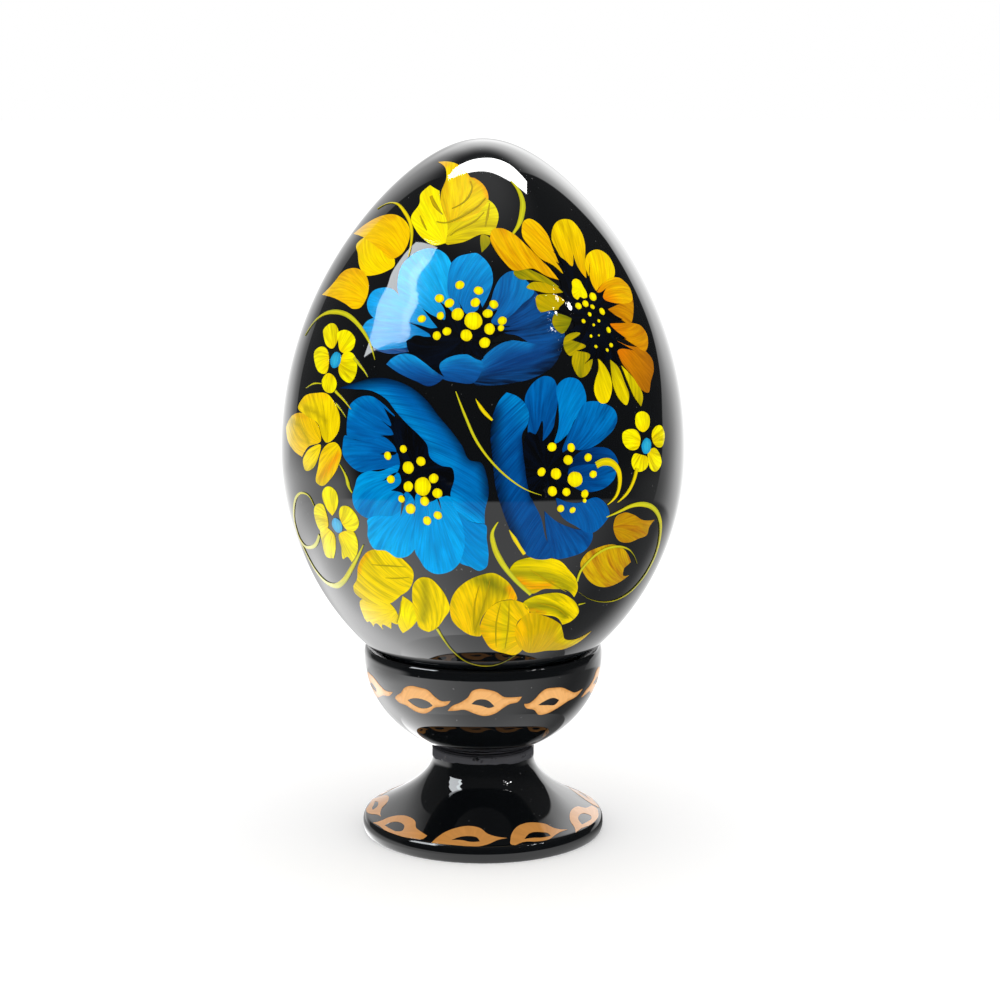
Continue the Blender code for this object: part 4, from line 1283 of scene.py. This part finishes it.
# Eye shapes, each as (outline, hole), with longitudes counted from their own middle
BOWL_SHAPES = (([(-17.5, 18.8, 1), (-15, 19.5), (-10.5, 20.1), (-7, 20.8), (-5, 21.6), (-2, 21.9), (2, 21.8),
      (6, 21.5), (10, 20.8), (14, 20.7), (18.5, 20.7, 1), (17, 20.1), (12.5, 19.8), (9, 19.2), (6.5, 18.7),
      (0.5, 18.3), (-4, 18.6), (-9, 19.1), (-14, 18.9)], [(-5.5, 19.9, 1), (-3.5, 20.4), (1.5, 20.5),
      (5.5, 19.6, 1), (3.5, 19.4), (-1, 19.7)]),
    ([(-16.5, 19.3, 1), (-15, 19.7), (-11, 20.3), (-8, 21.1), (-4.5, 21.5), (1, 21.5), (5.5, 21.3),
      (8.5, 20.6), (11.5, 20.1), (16.5, 20.2, 1), (15, 19.7), (11.5, 19.3), (8, 19.1), (5, 18.5), (0.5, 18),
      (-4, 18.1), (-9.5, 18.7), (-14.5, 18.9)], [(-7.5, 19.5, 1), (-4, 19.9), (2, 20), (5.5, 19.7),
      (7, 19.3, 1), (4, 18.9), (0, 18.7), (-4.5, 19)]),
    ([(-18.5, 19.7, 1), (-16, 19.7), (-13.5, 20.1), (-11, 20.8), (-8, 21.3), (-3, 21.3), (2, 21.1),
      (7, 20.5), (11.5, 20), (18.5, 20.1, 1), (15, 19.4), (8, 19), (1, 18.3), (-4, 17.9), (-9, 17.9),
      (-12.5, 18.7), (-17.5, 19.2)], [(-11, 19.3, 1), (-7, 19.8), (-3.5, 20), (1.5, 19.5, 1), (0, 19),
      (-5.5, 19.1)]))
FOOT_SHAPES = (([(-19, 2, 1), (-18, 2.5), (-14.5, 3.1), (-9, 3.5), (-1.5, 3.7), (5, 3.5), (8.5, 3.1),
      (12, 2.9), (18.5, 2.7, 1), (13.5, 2.6), (8.5, 2.3), (3.5, 2.1), (-1.5, 2), (-7.5, 2.15), (-12, 2.15),
      (-16.5, 1.98)], [(-10, 2.5, 1), (-6, 2.8), (-1.5, 2.9), (3, 2.8), (4.5, 2.5, 1), (0, 2.45),
      (-4.5, 2.55)]),
    ([(-19, 2, 1), (-16, 2.5), (-14.5, 2.9), (-9, 3.4), (-1, 3.6), (6.5, 3.4), (10, 3), (14.5, 2.8),
      (19.5, 2.6, 1), (18.5, 2.3), (14, 2.2), (7, 2), (1, 1.9), (-6, 2.1), (-12.5, 2.2)], [(-10, 2.4, 1),
      (-8, 2.8), (-2.5, 3), (3, 2.8), (4, 2.5), (1.5, 2.35), (-3.5, 2.35)]),
    ([(-17, 2.6), (-15.5, 3), (-11, 3.5), (-5, 3.7), (2, 3.6), (7.5, 3.3), (10, 2.9), (17, 2.5, 1),
      (11.5, 2.5), (7.5, 2.4), (2.5, 2.2), (-4.5, 2.2), (-10.5, 2.3), (-15.5, 2.1, 1), (-17.5, 2.2)],
     [(-10, 2.5, 1), (-5, 2.9), (1.5, 2.8), (4.5, 2.6), (4.5, 2.4, 1), (-0.5, 2.4), (-5.5, 2.5)]))


RING_ROOT = 12                  # the ornaments' bristle marks run from this far below their middle
RING_STRAY = 1.5                # degrees by which an ornament may stand off the even spacing
RING_WIDE, RING_TALL = (0.92, 1.04), (0.9, 1.04)    # its size, against its shape's
RING_STREAKS, RIM_WIDTH = 0.12, 0.25                # how strong its bristle marks are; its rim's width


def rim_of(path):
    """The closed outline itself, as the path of a glow."""
    return [q[:2] for q in path] + [path[0][:2]]


def ring(name, tone, material, skin, shapes, places, count, order):
    """Eye shapes all the way round, in the given order: the first ones at set places (longitudes), the rest
    evenly spaced and each a little different."""
    painting = Painting(name, "stand", "gold_paint", material, skin, 0)
    heights = [q[1] for outline, _ in shapes for q in outline]
    middle = (min(heights) + max(heights)) / 2
    pitch = (360 + places[0] - places[-1]) / (count + 1 - len(places))
    for i in range(count):
        outline, hole = shapes[order[i % len(order)]]
        if i < len(places):
            shift, wide, tall = places[i], 1.0, 1.0
        else:
            shift = places[-1] + pitch * (i + 1 - len(places)) + rng.uniform(-RING_STRAY, RING_STRAY)
            wide, tall = rng.uniform(*RING_WIDE), rng.uniform(*RING_TALL)
        moved = [[(shift + q[0] * wide, middle + (q[1] - middle) * tall) + tuple(q[2:]) for q in path]
                 for path in (outline, hole)]
        painting.stroke(tone, 0, (shift, middle - RING_ROOT), moved[0], hole=moved[1],
                        glows=[(rim_of(moved[0]), "bronze", RIM_WIDTH)], strength=RING_STREAKS)
    return painting.build()


ring("bowl_ornament", "copper / bronze", COPPER, BOWL, BOWL_SHAPES,
     places=(-32.0, 0.0, 38.5), count=10, order=(1, 0, 2, 0, 2, 1, 0))
# the foot's ornaments get a darker bronze than the bowl's copper partly as painted shade under the bowl
ring("foot_ornament", "bronze / umber", COPPER_GLOSS, FLARE, FOOT_SHAPES,
     places=(-49.0, -6.0, 31.0), count=9, order=(1, 0, 2, 1, 0, 2, 0))

# ---------------------------------------------------------------- floor, light and camera


def stage_mesh(name, points, faces):
    mesh = bpy.data.meshes.new(name)
    mesh.from_pydata([tuple(float(c) * MM for c in p) for p in points], [], faces)
    obj = link(bpy.data.objects.new(name, mesh))
    return obj


FLOOR_REACH = 4000.0
FLOOR_GLOW, FLOOR_ALBEDO = 0.20, 0.88


def white_floor():
    """A broad, faintly glowing white floor that the gloss doesn't mirror."""
    corners = [(x * FLOOR_REACH, y * FLOOR_REACH, 0) for x, y in ((-1, -1), (1, -1), (1, 1), (-1, 1))]
    floor = stage_mesh("floor", corners, [(0, 1, 2, 3)])
    material, t, inputs = new_material("floor_white")
    t.put(inputs["Base Color"], (FLOOR_ALBEDO,) * 3 + (1.0,))
    t.put(inputs["Roughness"], 1.0)
    t.put(inputs["Specular IOR Level"], 0.0)
    t.put(inputs["Emission Color"], (1.0, 1.0, 1.0, 1.0))
    t.put(inputs["Emission Strength"], FLOOR_GLOW)
    floor.data.materials.append(material)
    floor.visible_glossy = False


white_floor()

NEAR_TABLE_RADIUS, NEAR_TABLE_SIDES = FOOT_RADIUS + 8.0, 64
NEAR_TABLE_HEIGHT = 0.01


def table_level(t, azimuth):
    """How bright the table is: lit from the left, shaded on the right."""
    return t.math('ADD', t.step(azimuth, -95.0, 5.0, 1.8, 0.0), t.step(azimuth, 30.0, 105.0, 1.3, 0.22))


def azimuth_of(t, x, y):
    """Degrees round the egg from the camera side, positive to the right."""
    return t.math('MULTIPLY', t.math('ARCTAN2', x, t.math('MULTIPLY', y, -1.0)), 180 / math.pi)


def near_table():
    """The bright table close round the foot, as the side of the foot's edge mirrors it."""
    turns = [2 * math.pi * i / NEAR_TABLE_SIDES for i in range(NEAR_TABLE_SIDES)]
    corners = [(NEAR_TABLE_RADIUS * math.cos(a), NEAR_TABLE_RADIUS * math.sin(a), NEAR_TABLE_HEIGHT)
               for a in turns]
    obj = stage_mesh("near_table", corners, [tuple(range(NEAR_TABLE_SIDES))])
    material, t, glow = glowing_material("near_table_glow")
    split = t.add("ShaderNodeSeparateXYZ")
    t.put(split.inputs[0], t.add("ShaderNodeTexCoord").outputs["Object"])
    azimuth = azimuth_of(t, split.outputs[0], split.outputs[1])
    level = table_level(t, azimuth)
    # seen at a flat angle, as in the foot's edge, it is shaded by the foot on both sides
    weight = t.add("ShaderNodeLayerWeight")
    t.put(weight.inputs["Blend"], 0.5)
    shaded = t.math('MULTIPLY', t.math('MINIMUM', level, 1.3),
                    t.step(t.math('ABSOLUTE', azimuth), 50.0, 100.0, 1.0, 0.45))
    flat = t.step(weight.outputs["Facing"], 0.58, 0.74)
    t.put(glow["Strength"], t.mix_value(flat, level, shaded))
    obj.data.materials.append(material)
    return only_in_reflections(obj)


EGG_MIDDLE = (EGG_TOP + EGG_BOTTOM) / 2
LAMP_DISTANCE = 700.0


def direction(azimuth, elevation):
    """A point seen from the egg: azimuth from the camera side, positive to the right."""
    a, e = math.radians(azimuth), math.radians(elevation)
    return (LAMP_DISTANCE * math.cos(e) * math.sin(a), -LAMP_DISTANCE * math.cos(e) * math.cos(a),
            EGG_MIDDLE + LAMP_DISTANCE * math.sin(e))


def glowing_material(name):
    """A material that only glows, with its node tree and its emission's sockets."""
    material = bpy.data.materials.new(name)
    material.use_nodes = True
    t = Tree(material.node_tree)
    glow = t.add("ShaderNodeEmission")
    t.put(t.add("ShaderNodeOutputMaterial").inputs["Surface"], glow.outputs[0])
    material.cycles.emission_sampling = 'NONE'
    return material, t, glow.inputs


def lamp_material(name, strength, tint=(1.0, 1.0, 1.0)):
    material, t, glow = glowing_material(name)
    t.put(glow["Color"], tint + (1.0,))
    t.put(glow["Strength"], strength)
    return material


def only_in_reflections(obj):
    obj.visible_camera = obj.visible_diffuse = obj.visible_shadow = False
    obj.visible_transmission = obj.visible_volume_scatter = False
    return obj


def with_rows_between(rows, steps):
    """The same rows of numbers with smooth steps between them."""
    padded = np.concatenate([2 * rows[:1] - rows[1:2], rows, 2 * rows[-1:] - rows[-2:-1]])
    made = []
    for i in range(len(rows) - 1):
        a, b, c, d = padded[i:i + 4]
        for t in np.arange(steps) / steps:
            bend = a - 2.5 * b + 2 * c - d / 2 + t * (3 * b - a - 3 * c + d) / 2
            made.append(b + t * ((c - a) / 2 + t * bend))
    return np.array(made + [rows[-1]])


def strip_light(name, pairs, strength, tint, shown_at, closer):
    """A bright panel between two rows of (azimuth, elevation), moved closer to the place on the egg that
    shows it, so that it looks the same there and sits a little higher as seen from the foot."""
    shown_at = np.array(shown_at)
    points = [shown_at + (np.array(direction(*q)) - shown_at) * closer for pair in pairs for q in pair]
    points = with_rows_between(np.array(points).reshape(len(pairs), 6), 8).reshape(-1, 3)
    faces = [(2 * i, 2 * i + 1, 2 * i + 3, 2 * i + 2) for i in range(len(points) // 2 - 1)]
    obj = stage_mesh(name, points, faces)
    obj.data.materials.append(lamp_material(name + "_glow", strength, tint))
    return only_in_reflections(obj)


ARC_SHOWN_AT, WINDOW_SHOWN_AT = (0.0, -8.0, 80.0), (-15.0, -20.0, 68.0)

strip_light("overhead_arc", [((-128, 63.3), (-123, 65.5)), ((-140, 63.8), (-126, 70.1)),
     ((-156, 66.6), (-139, 75.6)), ((-178, 67.7), (-168, 79.4)), ((161, 65.4), (153, 78.8)),
     ((145, 62), (127, 74.9)), ((132, 60.3), (115, 69.5)), ((125, 59), (108, 63.2))], 26.0, (1.0, 1.0, 1.0),
    ARC_SHOWN_AT, 0.55)
strip_light("window", [((-79, 20.5), (-78, 21)), ((-79, 25.4), (-66, 26.8)), ((-81, 30), (-51, 31.7)),
     ((-84, 34.2), (-54, 37.1)), ((-84, 38.6), (-52, 42.4)), ((-87, 42), (-59, 46.1)),
     ((-87, 46.4), (-61, 49.8)), ((-86, 50), (-58, 54.7)), ((-84, 53.5), (-58, 59.7))], 12.0,
    (0.93, 0.97, 1.0), WINDOW_SHOWN_AT, 0.70)
strip_light("window_edge", [((-62, 31.2), (-52, 31.9)), ((-66, 36.8), (-55, 37.3)), ((-65, 42), (-53, 42.4)),
     ((-69, 46), (-60, 46.2)), ((-70, 49.6), (-62, 49.9)), ((-66, 54.4), (-59, 54.8))], 17.0,
    (0.9, 0.97, 1.0), WINDOW_SHOWN_AT, 0.69)


def spots(name, places, strength):
    """Small round lamps: (azimuth, elevation, radius)."""
    points, faces, sides = [], [], 12
    for azimuth, elevation, radius in places:
        centre = np.array(direction(azimuth, elevation))
        back = (centre - np.array((0, 0, EGG_MIDDLE))) / LAMP_DISTANCE
        right = np.cross(back, (0, 0, 1))
        right /= np.linalg.norm(right)
        up = np.cross(right, back)
        faces.append(tuple(range(len(points), len(points) + sides)))
        for i in range(sides):
            a = 2 * math.pi * i / sides
            points.append(centre + radius * (right * math.cos(a) + up * math.sin(a)))
    obj = stage_mesh(name, points, faces)
    obj.data.materials.append(lamp_material(name + "_glow", strength))
    return only_in_reflections(obj)


spots("sparkle_lamps", [(68, 37.5, 15), (61, 41.7, 13), (56, 38.3, 8), (55, 39.9, 6), (51, 39.5, 3),
     (53, 44.3, 3), (63, 45.3, 3), (62, 44.4, 3), (60, 43.2, 3), (49, 34.9, 5), (51, 33.7, 3), (65, 40.2, 4),
     (66, 38.9, 3)], 60.0)


near_table()


TABLE_END = (-17.3, -16.1)      # degrees below the horizon between which the table ends


def studio():
    """White to the camera, even and soft on paint, and a studio with dark and bright sides in the gloss."""
    world = bpy.data.worlds.new("studio")
    bpy.context.scene.world = world
    world.use_nodes = True
    world.cycles.sampling_method = 'NONE'
    t = Tree(world.node_tree)
    ray = t.add("ShaderNodeLightPath").outputs
    split = t.add("ShaderNodeSeparateXYZ")
    t.put(split.inputs[0], t.add("ShaderNodeTexCoord").outputs["Generated"])
    x, y, z = split.outputs
    elevation = t.math('MULTIPLY', t.math('ARCSINE', z), 180 / math.pi)
    azimuth = azimuth_of(t, x, y)
    away = t.math('ABSOLUTE', azimuth)
    # above the horizon, a dark room that is paler overhead
    room = t.math('ADD', t.step(elevation, 18.0, 42.0, 0.05, 0.10), t.step(elevation, 56.0, 84.0, 0.0, 0.6))
    # behind on the right, a bright wall with a sharp near edge
    low_part = t.math('MINIMUM', elevation, 20.0)
    high_part = t.math('MAXIMUM', t.math('SUBTRACT', elevation, 20.0), 0.0)
    near_edge = t.math('MULTIPLY_ADD', low_part, 0.46, t.math('MULTIPLY_ADD', high_part, -0.15, 133.2))
    near_edge = t.math('SUBTRACT', near_edge, t.step(elevation, -2.0, 10.0, 9.0, 0.0))
    past = t.math('SUBTRACT', azimuth, near_edge)
    spread = t.math('MULTIPLY', past, t.step(elevation, -2.0, 8.0, 0.5, 1.0))
    far_level = t.step(elevation, -6.0, 32.0, 1.45, 3.3)
    wall = t.math('MULTIPLY', far_level, t.mix_value(t.step(spread, 0.0, 13.0),
                                                     t.step(elevation, -13.0, -2.0, 0.22, 0.55), 1.0))
    wall = t.math('MULTIPLY', wall, t.step(past, -0.8, 0.8))
    wall = t.math('MULTIPLY', wall, t.step(elevation, -18.0, -8.0, 0.6, 1.0))
    wall = t.math('ADD', wall, t.math('MULTIPLY', t.step(past, -45.0, -6.0, 0.0, 1.0),
                                      t.step(elevation, -13.0, -4.0, 0.2, 0.0)))
    # behind on the left, a paler one
    low_part = t.math('MINIMUM', elevation, 12.0)
    high_part = t.math('MAXIMUM', t.math('SUBTRACT', elevation, 12.0), 0.0)
    near_edge = t.math('MULTIPLY_ADD', low_part, -0.45, t.math('MULTIPLY_ADD', high_part, 0.2, -135.0))
    past = t.math('SUBTRACT', near_edge, azimuth)
    pale = t.math('MULTIPLY', t.step(past, 0.0, 16.0, 0.42, 0.98), t.step(elevation, -10.0, 6.0, 1.45, 1.0))
    pale = t.math('MULTIPLY', pale, t.step(elevation, 14.0, 34.0, 1.0, 1.4))
    pale = t.math('ADD', pale, t.math('MULTIPLY', t.step(azimuth, -168.0, -153.0, 1.0, 0.0),
                                      t.step(elevation, 12.0, 34.0, 0.0, 1.5)))
    pale = t.mix_value(t.step(azimuth, -179.5, -168.0, 1.0, 0.0), pale, far_level)
    pale = t.math('MULTIPLY', pale, t.step(past, -0.8, 0.8))
    # straight behind, the white that the camera sees
    is_behind = t.math('MULTIPLY', t.step(away, 162.0, 178.0), t.step(elevation, 8.0, 24.0, 1.0, 0.0))
    behind = t.mix_value(is_behind, t.math('ADD', wall, pale), 0.97)
    above = t.math('ADD', room, t.math('MULTIPLY', behind, t.step(elevation, 40.0, 62.0, 1.0, 0.0)))
    # on the left the table's far end fades softly into the dark
    far_end = t.math('MULTIPLY', t.step(azimuth, -90.0, -70.0, 1.0, 0.0),
                     t.step(elevation, -13.0, -1.0, 1.7, 0.12))
    above = t.math('MAXIMUM', above, far_end)
    # below it, a pale table that is lit from the left and shaded on the right
    table = t.math('ADD', table_level(t, azimuth), t.step(azimuth, 126.0, 156.0, 0.0, 0.85))
    table = t.math('MULTIPLY', table, t.step(azimuth, -168.0, -134.0, 0.45, 1.0))
    table = t.math('ADD', table, t.math('MULTIPLY', t.step(azimuth, 80.0, 110.0),
                                        t.step(elevation, -74.0, -58.0, 2.4, 0.0)))
    # the left side of its far end is softer
    dim = t.math('MULTIPLY', t.step(azimuth, -100.0, -60.0, 0.4, 0.0), t.step(elevation, -27.0, -17.0))
    table = t.math('MULTIPLY', table, t.math('SUBTRACT', 1.0, dim))
    is_table = t.step(elevation, *TABLE_END, 1.0, 0.0)
    pattern = t.mix_value(is_table, above, table)
    even = t.step(z, -1.0, 1.0, 1.0, 1.12)
    camera, glossy = ray["Is Camera Ray"], ray["Is Glossy Ray"]
    other = t.math('SUBTRACT', 1.0, t.math('ADD', camera, glossy), clamp=True)
    strength = t.math('ADD', t.math('MULTIPLY', camera, 1.0), t.math('MULTIPLY', glossy, pattern))
    strength = t.math('ADD', strength, t.math('MULTIPLY', other, even))
    background = t.add("ShaderNodeBackground")
    t.put(background.inputs["Color"], (1.0, 1.0, 1.0, 1.0))
    t.put(background.inputs["Strength"], strength)
    t.put(t.add("ShaderNodeOutputWorld").inputs["Surface"], background.outputs[0])


studio()
bpy.context.scene.view_settings.view_transform = 'Standard'

CAMERA_DISTANCE = 300.0
CAMERA_ELEVATION = math.radians(10)
VIEW_HEIGHT = 124.9             # what the frame's height spans at the object
VIEW_SHIFT = (0.017, -0.0101)   # the object stands a little left of the view's middle
SENSOR = 36.0
camera_data = bpy.data.cameras.new("camera")
camera_data.sensor_width = SENSOR
camera_data.lens = SENSOR * CAMERA_DISTANCE / VIEW_HEIGHT
camera_data.shift_x, camera_data.shift_y = VIEW_SHIFT
camera_data.clip_start, camera_data.clip_end = 0.01, 20.0
camera = link(bpy.data.objects.new("camera", camera_data))
aim = (CAD_BOUNDS[0] + CAD_BOUNDS[1]) / 2
camera.location = (0.0, aim.y - CAMERA_DISTANCE * math.cos(CAMERA_ELEVATION) * MM,
                   aim.z + CAMERA_DISTANCE * math.sin(CAMERA_ELEVATION) * MM)
camera.rotation_euler = (math.pi / 2 - CAMERA_ELEVATION, 0.0, 0.0)
bpy.context.scene.camera = camera
